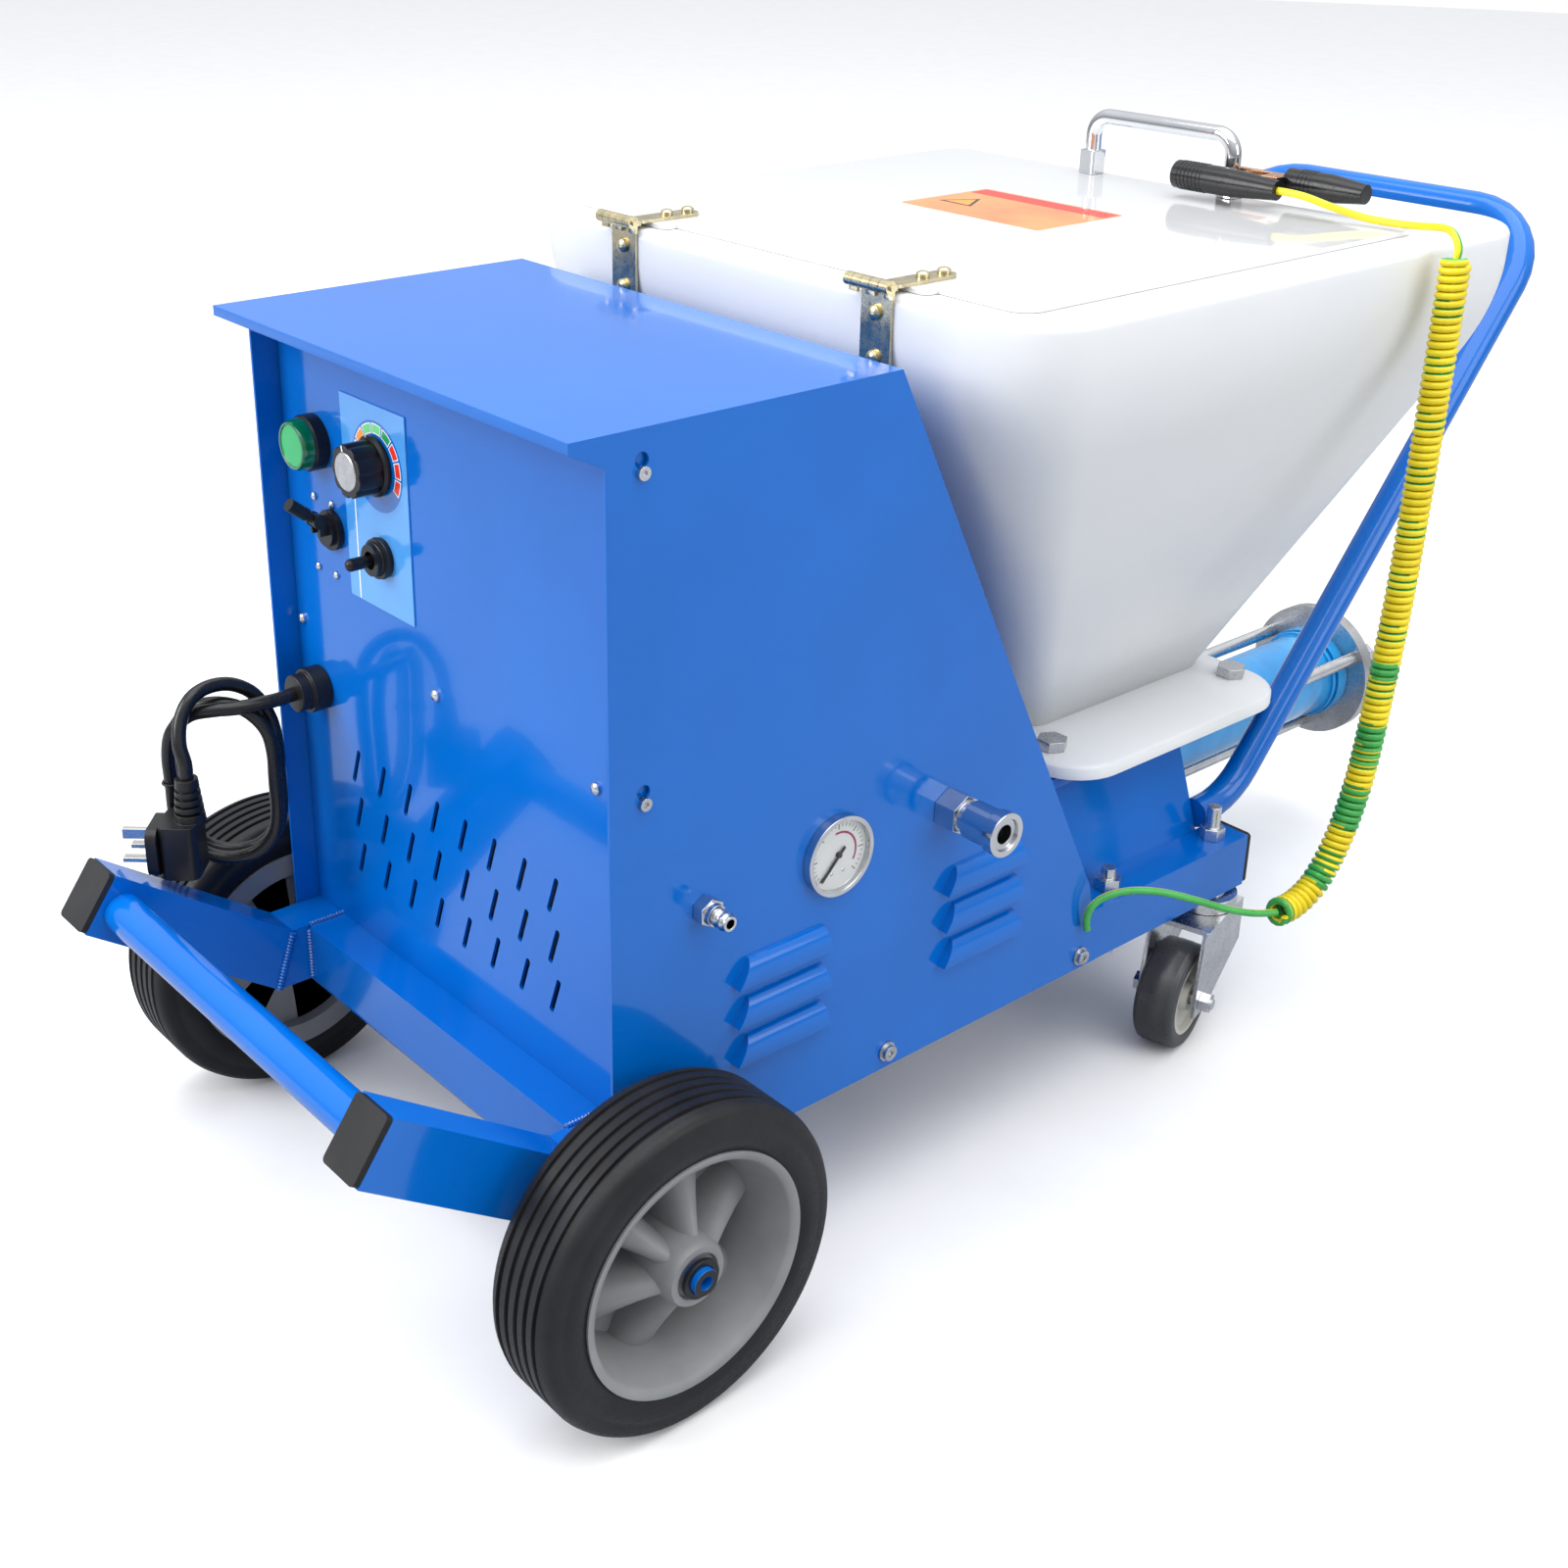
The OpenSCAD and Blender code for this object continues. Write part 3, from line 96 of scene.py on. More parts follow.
def make_camera():
    turn, tilt, roll = (math.radians(a) for a in (CAMERA_TURN, CAMERA_TILT, CAMERA_ROLL))
    back = Vector((math.sin(turn) * math.cos(tilt), -math.cos(turn) * math.cos(tilt), math.sin(tilt)))
    right = (-back).cross(Vector((0, 0, 1))).normalized()
    up = right.cross(-back)
    across = math.cos(roll) * right + math.sin(roll) * up
    above = -math.sin(roll) * right + math.cos(roll) * up
    data = bpy.data.cameras.new("camera")
    data.lens, data.sensor_width = LENS, SENSOR
    data.shift_x, data.shift_y = SHIFT_X, SHIFT_Y
    data.clip_start, data.clip_end = CLIP_START, CLIP_END
    camera = bpy.data.objects.new("camera", data)
    bpy.context.scene.collection.objects.link(camera)
    rows = Matrix((across, above, back)).transposed().to_4x4()
    rows.translation = CAMERA_PLACE
    camera.matrix_world = rows
    bpy.context.scene.camera = camera


make_camera()


# ---------------------------------------------------------------- material building
def new_material(name):
    mat = bpy.data.materials.new(name)
    mat.use_nodes = True
    nodes = mat.node_tree.nodes
    return mat, nodes, mat.node_tree.links, nodes["Principled BSDF"]


def noise(nodes, links, scale, detail=4.0, rough=0.55):
    """A noise texture in the row frame; scale is in waves per metre."""
    coords = nodes.new("ShaderNodeTexCoord")
    tex = nodes.new("ShaderNodeTexNoise")
    tex.inputs["Scale"].default_value = scale
    tex.inputs["Detail"].default_value = detail
    tex.inputs["Roughness"].default_value = rough
    links.new(coords.outputs["Object"], tex.inputs["Vector"])
    return tex.outputs["Fac"]


NOISE_LOW, NOISE_HIGH = 0.3, 0.7  # the stretch of a noise value that the maps below use


def spread(nodes, links, fac, low, high, start=NOISE_LOW, end=NOISE_HIGH):
    """Maps the values from start to end onto low to high."""
    remap = nodes.new("ShaderNodeMapRange")
    for key, value in (("From Min", start), ("From Max", end), ("To Min", low), ("To Max", high)):
        remap.inputs[key].default_value = value
    links.new(fac, remap.inputs["Value"])
    return remap.outputs["Result"]


def two_tone(nodes, links, fac, dark, light):
    """Two colours that run into each other with the value."""
    ramp = nodes.new("ShaderNodeValToRGB")
    for stop, place, colour in zip(ramp.color_ramp.elements, (NOISE_LOW, NOISE_HIGH), (dark, light)):
        stop.position, stop.color = place, (*colour, 1)
    links.new(fac, ramp.inputs["Fac"])
    return ramp.outputs["Color"]


def add_bump(nodes, links, shader, fac, strength, depth):
    bump = nodes.new("ShaderNodeBump")
    bump.inputs["Strength"].default_value = strength
    bump.inputs["Distance"].default_value = depth
    links.new(fac, bump.inputs["Height"])
    links.new(bump.outputs["Normal"], shader.inputs["Normal"])


def surface(name, dark, light, rough, metal=0.0, grain=300, bump=0.1, depth=0.0002, coat=0.0,
            coat_rough=0.05, specular=0.5, blotch=14):
    """A procedural surface: slow colour variation, a fine grain in roughness and a fine bump."""
    mat, nodes, links, shader = new_material(name)
    slow = noise(nodes, links, blotch, 3.0)
    fine = noise(nodes, links, grain, 4.0, 0.6)
    links.new(two_tone(nodes, links, slow, dark, light), shader.inputs["Base Color"])
    links.new(spread(nodes, links, fine, rough[0], rough[1]), shader.inputs["Roughness"])
    shader.inputs["Metallic"].default_value = metal
    shader.inputs["Coat Weight"].default_value = coat
    shader.inputs["Coat Roughness"].default_value = coat_rough
    shader.inputs["Specular IOR Level"].default_value = specular
    add_bump(nodes, links, shader, fine, bump, depth)
    return mat


def milky(name, dark, light, rough, scatter):
    """Natural polyethylene: a white plastic that lets a little light through."""
    mat = surface(name, dark, light, rough, grain=120, bump=0.06, depth=0.0004, blotch=6, specular=0.45)
    shader = mat.node_tree.nodes["Principled BSDF"]
    shader.inputs["Subsurface Weight"].default_value = scatter
    shader.inputs["Subsurface Radius"].default_value = (1.0, 1.0, 1.0)
    shader.inputs["Subsurface Scale"].default_value = 0.012
    return mat


def clear(name, tint, rough):
    """A thin clear pane that hardly bends the light."""
    mat, nodes, links, shader = new_material(name)
    fine = noise(nodes, links, 80)
    links.new(spread(nodes, links, fine, rough, rough * 1.6), shader.inputs["Roughness"])
    shader.inputs["Base Color"].default_value = (*tint, 1)
    shader.inputs["Transmission Weight"].default_value = 1.0
    shader.inputs["IOR"].default_value = 1.15
    return mat


BLUE = surface("paint_blue", (0.0, 0.12, 0.5), (0.0, 0.135, 0.55), (0.1, 0.16), grain=420, bump=0.03,
               depth=0.0003, coat=0.3, coat_rough=0.03, specular=0.3, blotch=9)
BLUE_WELD = surface("paint_blue_weld", (0.0, 0.1, 0.43), (0.0, 0.13, 0.52), (0.2, 0.34), grain=300,
                    bump=0.3, depth=0.0006, coat=0.4)
WRAP_BLUE = surface("stator_blue", (0.0, 0.24, 0.62), (0.01, 0.36, 0.78), (0.12, 0.2), grain=160, bump=0.05,
                    coat=0.6, blotch=30)
TYRE = surface("tyre_rubber", (0.007, 0.007, 0.008), (0.014, 0.014, 0.016), (0.36, 0.52), grain=500,
               bump=0.2, blotch=30, specular=0.28)
HUB_GREY = surface("hub_grey", (0.2, 0.205, 0.21), (0.25, 0.255, 0.26), (0.36, 0.48), grain=700, bump=0.12,
                   blotch=25, specular=0.4)
PU_GREY = surface("caster_tread", (0.035, 0.036, 0.04), (0.06, 0.061, 0.066), (0.25, 0.4), grain=300,
                  bump=0.1)
IVORY = surface("caster_core", (0.5, 0.49, 0.44), (0.6, 0.58, 0.53), (0.35, 0.5), grain=400, bump=0.1)
BLACK = surface("black_plastic", (0.007, 0.007, 0.008), (0.012, 0.012, 0.013), (0.26, 0.4), grain=900,
                bump=0.1, specular=0.35)
CAP_BLACK = surface("cap_plastic", (0.008, 0.008, 0.009), (0.02, 0.02, 0.022), (0.48, 0.62), grain=1300,
                    bump=0.3, specular=0.3)
CORD_BLACK = surface("cord_rubber", (0.006, 0.006, 0.007), (0.011, 0.011, 0.012), (0.2, 0.32), grain=200,
                     bump=0.06, specular=0.4)
ZINC = surface("zinc_plate", (0.56, 0.57, 0.59), (0.72, 0.73, 0.75), (0.18, 0.32), metal=1.0, grain=260,
               bump=0.06, blotch=60)
DARK_BOLT = surface("bright_bolt", (0.45, 0.46, 0.48), (0.6, 0.61, 0.63), (0.2, 0.34), metal=1.0, grain=400)
YELLOW_ZINC = surface("yellow_zinc", (0.5, 0.44, 0.3), (0.72, 0.62, 0.38), (0.2, 0.34), metal=1.0,
                      grain=200, bump=0.06, blotch=90)
CHROME = surface("chrome", (0.55, 0.56, 0.58), (0.64, 0.65, 0.67), (0.03, 0.08), metal=1.0, grain=90,
                 bump=0.01)
STEEL = surface("turned_steel", (0.42, 0.42, 0.43), (0.6, 0.6, 0.61), (0.22, 0.4), metal=1.0, grain=500,
                bump=0.12, blotch=40)
FITTING = surface("fitting_steel", (0.5, 0.51, 0.53), (0.68, 0.69, 0.71), (0.1, 0.2), metal=1.0, grain=220,
                  bump=0.05, blotch=50)
PIN_STEEL = surface("pin_plate", (0.62, 0.6, 0.55), (0.74, 0.72, 0.66), (0.2, 0.3), metal=1.0, grain=300)
SPUN = surface("spun_cap", (0.5, 0.5, 0.51), (0.64, 0.64, 0.65), (0.24, 0.34), metal=1.0, grain=900,
               bump=0.08, blotch=120)
COPPER = surface("copper_plate", (0.62, 0.34, 0.2), (0.78, 0.45, 0.28), (0.22, 0.34), metal=1.0, grain=300)
MOTOR = surface("motor_paint", (0.08, 0.09, 0.1), (0.12, 0.13, 0.14), (0.4, 0.55), grain=300, bump=0.25)
CAST = surface("cast_iron", (0.14, 0.145, 0.15), (0.2, 0.205, 0.21), (0.45, 0.6), metal=0.4, grain=260,
               bump=0.4)
BEIGE = surface("inverter_plastic", (0.56, 0.55, 0.5), (0.62, 0.61, 0.56), (0.4, 0.5), grain=700, bump=0.1)
HOPPER_WHITE = milky("hopper_polyethylene", (0.74, 0.755, 0.77), (0.78, 0.79, 0.8), (0.28, 0.4), 0.25)
LID_WHITE = surface("lid_plastic", (0.74, 0.755, 0.77), (0.78, 0.79, 0.8), (0.06, 0.12), grain=40,
                    bump=0.015, coat=0.8, coat_rough=0.03, blotch=4)
LABEL_BLUE = surface("label_blue", (0.06, 0.3, 0.74), (0.09, 0.35, 0.8), (0.14, 0.2), grain=120, bump=0.02,
                     coat=0.5)
DIAL_BLUE = surface("dial_blue", (0.0, 0.12, 0.5), (0.0, 0.15, 0.55), (0.15, 0.22), grain=120, bump=0.02,
                    coat=0.5)
PRINT_WHITE = surface("print_white", (0.8, 0.82, 0.84), (0.9, 0.9, 0.91), (0.2, 0.3), bump=0.02)
PRINT_ORANGE = surface("print_orange", (0.85, 0.28, 0.02), (0.9, 0.34, 0.03), (0.2, 0.3), bump=0.02)
PRINT_RED = surface("print_red", (0.7, 0.02, 0.015), (0.8, 0.04, 0.02), (0.2, 0.3), bump=0.02)
PRINT_LIME = surface("print_lime", (0.1, 0.62, 0.18), (0.16, 0.7, 0.24), (0.2, 0.3), bump=0.02)
PRINT_GREEN = surface("print_green", (0.01, 0.3, 0.09), (0.02, 0.36, 0.12), (0.2, 0.3), bump=0.02)
LAMP_GREEN = surface("lamp_lens", (0.0, 0.36, 0.1), (0.01, 0.46, 0.14), (0.16, 0.24), grain=90, bump=0.05,
                     coat=0.3)
LAMP_SKIRT = surface("lamp_skirt", (0.0, 0.13, 0.045), (0.005, 0.2, 0.07), (0.1, 0.16), grain=90, bump=0.04,
                     coat=0.7)
PRINT_BLACK = surface("print_black", (0.02, 0.02, 0.02), (0.03, 0.03, 0.03), (0.25, 0.35), bump=0.02)
PRINT_PLUM = surface("print_plum", (0.3, 0.03, 0.09), (0.38, 0.05, 0.12), (0.25, 0.35), bump=0.02)
LID_ORANGE = surface("lid_print_orange", (0.72, 0.2, 0.02), (0.86, 0.36, 0.05), (0.12, 0.2), bump=0.02,
                     coat=0.5, blotch=18)
DIAL_WHITE = surface("gauge_face", (0.78, 0.78, 0.76), (0.84, 0.84, 0.82), (0.3, 0.4), bump=0.02)
GLASS = clear("gauge_glass", (0.97, 0.98, 0.98), 0.02)
EARTH_YELLOW = surface("earth_yellow", (0.72, 0.56, 0.0), (0.86, 0.7, 0.01), (0.24, 0.34), grain=200,
                       bump=0.05, blotch=40)
EARTH_GREEN = surface("earth_green", (0.03, 0.3, 0.05), (0.06, 0.42, 0.08), (0.24, 0.34), grain=200,
                      bump=0.05, blotch=40)


# ---------------------------------------------------------------- mesh building
def link_mesh(name, bm, material, body, smooth=35):
    """Turns a bmesh into a piece on a body, smooth apart from edges sharper than the given angle."""
    mesh = bpy.data.meshes.new(name)
    bmesh.ops.recalc_face_normals(bm, faces=bm.faces)
    bm.to_mesh(mesh)
    bm.free()
    if material is not None:
        mesh.materials.append(material)
    for poly in mesh.polygons:
        poly.use_smooth = True
    mesh.set_sharp_from_angle(angle=math.radians(smooth))
    obj = bpy.data.objects.new(name, mesh)
    bpy.context.scene.collection.objects.link(obj)
    if body:
        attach(obj, body)
    return obj


BEVEL_ANGLE = 32  # degrees: sharper edges are rounded


def bevel(obj, width, segments=2):
    mod = obj.modifiers.new("edges", "BEVEL")
    mod.width, mod.segments = width * MM, segments
    mod.limit_method, mod.angle_limit = "ANGLE", math.radians(BEVEL_ANGLE)
    mod.harden_normals = True
    mod.use_clamp_overlap = True
    return obj


SAME_POINT, FLAT_ANGLE = 2e-6, 0.4  # m and degrees: what counts as one point and as one flat face


def dress(node, material, width=0.0, segments=2):
    """A copy of a CAD node's mesh with merged flat faces and rounded edges, standing for the node."""
    source = frame["nodes"][node]
    bm = bmesh.new()
    bm.from_mesh(source.data)
    bmesh.ops.remove_doubles(bm, verts=bm.verts, dist=SAME_POINT)
    bmesh.ops.dissolve_limit(bm, angle_limit=math.radians(FLAT_ANGLE), verts=bm.verts, edges=bm.edges)
    obj = link_mesh(node + "_look", bm, material, source["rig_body"])
    if width:
        bevel(obj, width, segments)
    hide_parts(node)
    return obj


def paint_faces(obj, material, test):
    """Gives a further material to the faces whose middle, in mm as at() takes it, passes the test."""
    obj.data.materials.append(material)
    index = len(obj.data.materials) - 1
    for face in obj.data.polygons:
        if test(millimetres(face.center)):
            face.material_index = index
    return obj


def frame_axes(points):
    """Tangents and twist-free side vectors along a list of points."""
    count = len(points)
    tangents = [(points[min(i + 1, count - 1)] - points[max(i - 1, 0)]).normalized() for i in range(count)]
    start = Vector((0, 0, 1)) if abs(tangents[0].z) < 0.9 else Vector((1, 0, 0))
    side = tangents[0].cross(start).normalized()
    sides = []
    for tangent in tangents:
        side = (side - side.dot(tangent) * tangent).normalized()
        sides.append(side.copy())
    return tangents, sides


def smooth_route(points, steps):
    """Catmull-Rom points through a route."""
    route = []
    for i in range(len(points) - 1):
        p0, p1, p2, p3 = (points[max(0, min(len(points) - 1, i + k))] for k in (-1, 0, 1, 2))
        for s in range(steps):
            t = s / steps
            route.append(0.5 * (2 * p1 + (p2 - p0) * t + (2 * p0 - 5 * p1 + 4 * p2 - p3) * t * t
                                + (3 * p1 - p0 - 3 * p2 + p3) * t ** 3))
    route.append(points[-1])
    return route


def tube_into(bm, points, radius, sides=12, across=None):
    """Adds a tube along points; radius is a number or a function of the share along it.

    across gives the first side of each ring, where it isn't to be twist-free.
    """
    tangents, own = frame_axes(points)
    across = across or own
    rings = []
    for i, (point, tangent, side) in enumerate(zip(points, tangents, across)):
        r = radius(i / (len(points) - 1)) if callable(radius) else radius
        up = tangent.cross(side)
        ring = []
        for k in range(sides):
            a = 2 * math.pi * k / sides
            ring.append(bm.verts.new(point + r * (math.cos(a) * side + math.sin(a) * up)))
        rings.append(ring)
    for low, high in zip(rings, rings[1:]):
        for k in range(sides):
            bm.faces.new((low[k], low[(k + 1) % sides], high[(k + 1) % sides], high[k]))
    bm.faces.new(rings[0][::-1])
    bm.faces.new(rings[-1])


def tube(name, points, radius, material, body, sides=12):
    bm = bmesh.new()
    tube_into(bm, points, radius, sides)
    return link_mesh(name, bm, material, body, smooth=60)


def axes_from(direction):
    """A rotation whose local Z is the direction and whose local Y points up where it can."""
    z = Vector(direction).normalized()
    x = Vector((0, 0, 1)).cross(z)
    x = x.normalized() if x.length > 1e-6 else Vector((1, 0, 0))
    return Matrix((x, z.cross(x), z)).transposed().to_4x4()


def lathe_into(bm, profile, centre, direction, segments=64):
    """Adds a turned shape; profile is (radius, height) in mm along the direction.

    A profile that is off the axis at both ends is closed from its last point to its first.
    """
    place = Matrix.Translation(centre) @ axes_from(direction)
    rings = []
    for r, h in profile:
        if r < 1e-6:
            rings.append([bm.verts.new(place @ Vector((0, 0, h * MM)))])
            continue
        rings.append([bm.verts.new(place @ Vector((r * MM * math.cos(2 * math.pi * k / segments),
                                                  r * MM * math.sin(2 * math.pi * k / segments), h * MM)))
                      for k in range(segments)])
    closed = profile[0][0] > 1e-6 and profile[-1][0] > 1e-6
    pairs = list(zip(rings, rings[1:])) + ([(rings[-1], rings[0])] if closed else [])
    for low, high in pairs:
        for k in range(segments):
            n = (k + 1) % segments
            corner = [low[0]] if len(low) == 1 else [low[k], low[n]]
            corner += [high[0]] if len(high) == 1 else [high[n], high[k]]
            if len(corner) > 2:
                bm.faces.new(corner)


def lathe(name, profile, centre, direction, material, body, segments=64, smooth=30):
    bm = bmesh.new()
    lathe_into(bm, profile, centre, direction, segments)
    return link_mesh(name, bm, material, body, smooth)


def prism_into(bm, outline, place, low, high):
    """Adds an outline of (x, y) in mm, extruded between two heights in mm in the place's frame."""
    rings = [[bm.verts.new(place @ Vector((x * MM, y * MM, h * MM))) for x, y in outline]
             for h in (low, high)]
    count = len(outline)
    for k in range(count):
        bm.faces.new((rings[0][k], rings[0][(k + 1) % count], rings[1][(k + 1) % count], rings[1][k]))
    bm.faces.new(rings[0][::-1])
    bm.faces.new(rings[1])


def prism(name, outline, place, low, high, material, body, width=0.0):
    bm = bmesh.new()
    prism_into(bm, outline, place, low, high)
    obj = link_mesh(name, bm, material, body)
    return bevel(obj, width) if width else obj


def rounded(w, h, r, steps=6):
    """Outline of a rounded rectangle, centred."""
    points = []
    for corner, (sx, sy) in enumerate(((1, 1), (-1, 1), (-1, -1), (1, -1))):
        for k in range(steps + 1):
            a = math.radians(90 * corner + 90 * k / steps)
            points.append((sx * (w / 2 - r) + r * math.cos(a), sy * (h / 2 - r) + r * math.sin(a)))
    return points


# ---------------------------------------------------------------- cords: routes as in part.scad
CORD_D, LEAD_D, COIL_D = 9.0, 5.0, 20.0  # outer diameters
CORD_SIDES, CORD_STEPS = 16, 5  # sides of the tube, and rings from point to point
BUNDLE_TURN = 49  # degrees, of the tied bundle about the vertical
BUNDLE = Matrix.Translation(at(-170, -48, 0)) @ Matrix.Rotation(math.radians(BUNDLE_TURN), 4, "Z")
CORD_IN = [(44.7, 9.7, 308), (36, 2, 307.5), (24, -5, 307), (12, -10, 306.5), (0, -12, 306)]
CORD_TURN = [(-16, 302), (-28, 290), (-32, 274), (-32, 253), (-32, 232), (-28, 216), (-16, 204), (0, 200),
             (16, 204), (28, 216), (32, 232), (32, 253), (32, 274), (28, 290), (16, 302), (0, 306)]
CORD_OUT = [(29, 8, 292), (20, 8.5, 308), (8, 3, 317), (-4, -6, 319), (-13, -16, 315), (-18, -24, 304),
            (-18, -31, 291), (-15, -34, 280), (-15, -34, 270.3)]
CORD_PITCH, CORD_BEHIND = 10.6, -12  # from turn to turn, and where the first turn starts
TURNS_TAKEN = 29  # points of the turns in all: two turns, less the last three points
TIE_PLACE, TIE_RISE = (-32, -9.35, 253), 1.5
TIE_RADIUS, TIE_WIRE, TIE_STEPS = 5.4, 0.9, 40  # the loop's reach, its own radius and its points
LEAD_LOW = [(179.5, 387, 140.1), (180, 385, 150), (182, 387, 159), (186, 396, 165), (194, 412, 167),
            (204, 432, 163), (215, 454, 154), (226, 476, 144), (234, 496, 137), (240, 514.5, 133.5)]
COIL_ROUTE = [(240, 514, 133.5), (241, 532, 134), (243, 549, 143), (245, 563, 162), (247, 574, 190),
              (249, 582, 230), (250, 588, 290), (251, 592, 350), (251, 595, 420), (251, 597, 500),
              (251, 598, 572)]
LEAD_TOP = [(251, 598, 572.4), (251, 599, 578), (248, 600, 584), (242, 602, 588), (232, 606, 588),
            (216, 609, 586), (196, 609, 585), (176, 606, 586), (156, 601, 590), (136, 597, 594.5),
            (117.1, 596, 595.3)]


def cord_points():
    """The power cord's points: in from the gland, round the bundle's turns, and out to the plug."""
    turns = []
    for k in range(TURNS_TAKEN):
        across, up = CORD_TURN[k % len(CORD_TURN)]
        turns.append((across, CORD_BEHIND + CORD_PITCH * (k + 1) / len(CORD_TURN), up))
    return [BUNDLE @ (Vector(p) * MM) for p in CORD_IN + turns + CORD_OUT]


def tie_point(radius, half, k):
    """A point on a stadium outline round two strands, k from 0 to TIE_STEPS."""
    a = 2 * math.pi * k / TIE_STEPS
    strand = math.copysign(half, math.sin(a)) * min(1, abs(math.sin(a)) * 4)
    return radius * math.cos(a), strand + radius * math.sin(a)


def make_power_cord():
    """The cord and the tie round two strands of its bundle, with the cord's route."""
    points = smooth_route(cord_points(), CORD_STEPS)
    cord = tube("power_cord_rubber", points, CORD_D / 2 * MM, CORD_BLACK, "cart", CORD_SIDES)
    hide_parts("power_cord")
    tie = BUNDLE @ Matrix.Translation(Vector(TIE_PLACE) * MM)
    half = CORD_PITCH / 2
    band = [tie_point(TIE_RADIUS, half, k) for k in range(TIE_STEPS + 1)]
    band = [tie @ (Vector((x, y + half, TIE_RISE)) * MM) for x, y in band]
    return cord, tube("cord_tie", band, TIE_WIRE * MM, BLACK, "cart", 8), points


TURN_STEPS = 14  # rings in one turn of the curl
TURN_GAP = 2.06  # from turn to turn, in wire radii
LEAD_SIDES, CURL_SIDES = 12, 8
LEAD_STEPS, CURL_STEPS = 4, 24  # rings from point to point of the straight parts and of the curl's middle
STRIPE_TURNS = 40  # the curl's turns from the bottom that show their green
LOW_SIDE, LOW_HALF = 8, 3.1  # the stripe's middle and half width below the curl, in sides of the wire
TOP_SIDE, TOP_HALF = 9, 1.6  # the same past the curl
CURL_HALF = 1.8


def helix_points(route, coil_radius, wire_radius):
    """Turns of wire lying side by side round a route, with the way out from the middle at each point."""
    dense = smooth_route(route, CURL_STEPS)
    lengths = [0.0]
    for a, b in zip(dense, dense[1:]):
        lengths.append(lengths[-1] + (b - a).length)
    tangents, sides = frame_axes(dense)
    turns = int(lengths[-1] / (TURN_GAP * wire_radius))
    points, outward, j = [], [], 0
    for k in range(turns * TURN_STEPS + 1):
        where = lengths[-1] * k / (turns * TURN_STEPS)
        while j < len(dense) - 2 and lengths[j + 1] < where:
            j += 1
        t = (where - lengths[j]) / (lengths[j + 1] - lengths[j])
        centre = dense[j].lerp(dense[j + 1], t)
        side, tangent = sides[j].lerp(sides[j + 1], t).normalized(), tangents[j]
        a = 2 * math.pi * k / TURN_STEPS
        out = math.cos(a) * side + math.sin(a) * tangent.cross(side)
        points.append(centre + (coil_radius - wire_radius) * out)
        outward.append(out)
    return points, outward


def stripe(obj, sides, middle_at, half, first=0, count=None):
    """Paints a green stripe along a tube; middle_at gives the side that its middle has at each ring."""
    faces = obj.data.polygons
    rings = count if count is not None else (len(faces) - 2) // sides
    for ring in range(rings):
        for k in range(sides):
            off = (k - middle_at(ring) + sides / 2) % sides - sides / 2
            if abs(off) < half:
                faces[first + ring * sides + k].material_index = 1


def curl_stripe(ring):
    """Near the side panel the stripe winds round the wire; higher up it mostly faces inwards."""
    turn = ring / TURN_STEPS
    if turn < STRIPE_TURNS:
        return CURL_SIDES * (turn / 10 + 0.12 * math.sin(turn * 0.8))
    return CURL_SIDES / 2 + 0.5 * math.sin(turn * 0.9)


def make_earth_lead():
    """The lead with its curl, then its straight end over the lid, with the routes of both."""
    low = [at(*p) for p in LEAD_LOW]
    curl = [at(*p) for p in COIL_ROUTE]
    top = smooth_route([at(*p) for p in LEAD_TOP], LEAD_STEPS)
    helix, outward = helix_points(curl, COIL_D / 2 * MM, LEAD_D / 2 * MM)
    lead_in = smooth_route(low, LEAD_STEPS)
    bm = bmesh.new()
    tube_into(bm, lead_in, LEAD_D / 2 * MM, LEAD_SIDES)
    wire_faces = len(bm.faces)
    tube_into(bm, helix, LEAD_D / 2 * MM, CURL_SIDES, outward)
    lower = link_mesh("earth_lead_and_curl", bm, EARTH_YELLOW, None, smooth=80)
    lower.data.materials.append(EARTH_GREEN)
    stripe(lower, LEAD_SIDES, lambda ring: LOW_SIDE, LOW_HALF, 0, len(lead_in) - 1)
    stripe(lower, CURL_SIDES, curl_stripe, CURL_HALF, wire_faces, len(helix) - 1)
    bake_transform(lower)
    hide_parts("earth_lead_lower")
    upper = tube("earth_lead_top", top, LEAD_D / 2 * MM, EARTH_YELLOW, "lid", LEAD_SIDES)
    upper.data.materials.append(EARTH_GREEN)
    stripe(upper, LEAD_SIDES, lambda ring: TOP_SIDE, TOP_HALF)
    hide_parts("earth_lead_upper")
    return lower, upper, lead_in[:-1] + helix, top


power_cord, cord_tie, power_route = make_power_cord()
earth_lower, earth_upper, earth_route, earth_top = make_earth_lead()


# ---------------------------------------------------------------- frame and sheet metal
AXLE_BORE_SHADE_X = 243  # the axle's ends past this are painted black: painted shade for the dark open bore of the tube at the hub's middle
RIPPLE, RIPPLE_PITCH = 0.5, 2.2


def rail_dressing():
    for node in ("left_frame_rail", "right_frame_rail", "front_cross_tube"):
        dress(node, BLUE, 1.6, 3)
    for node in ("bumper_cross_bar", "saddle_bracket", "push_handle", "suction_housing"):
        dress(node, BLUE, 0.6)
    # The axle's ends are painted black, a painted shade standing for the dark hollow of its open bore.
    paint_faces(dress("wheel_axle", BLUE, 0.5), BLACK, lambda c: abs(c.x) > AXLE_BORE_SHADE_X)
    dress("tube_end_caps", CAP_BLACK, 1.6, 3)
    dress("axle_lock_caps", BLACK, 0.6)
    dress("wheel_spacers", ZINC, 0.4)


def weld_bead(name, start, end, size=2.4):
    """A rippled weld along a straight corner."""
    a, b = at(*start), at(*end)
    count = max(6, int((b - a).length / (RIPPLE_PITCH * MM)) * 4)
    points = [a.lerp(b, k / count) for k in range(count + 1)]

    def radius(share):
        return (size + RIPPLE * math.sin(share * count * math.pi / 2)) * MM

    tube(name, points, radius, BLUE_WELD, "cart", 10)


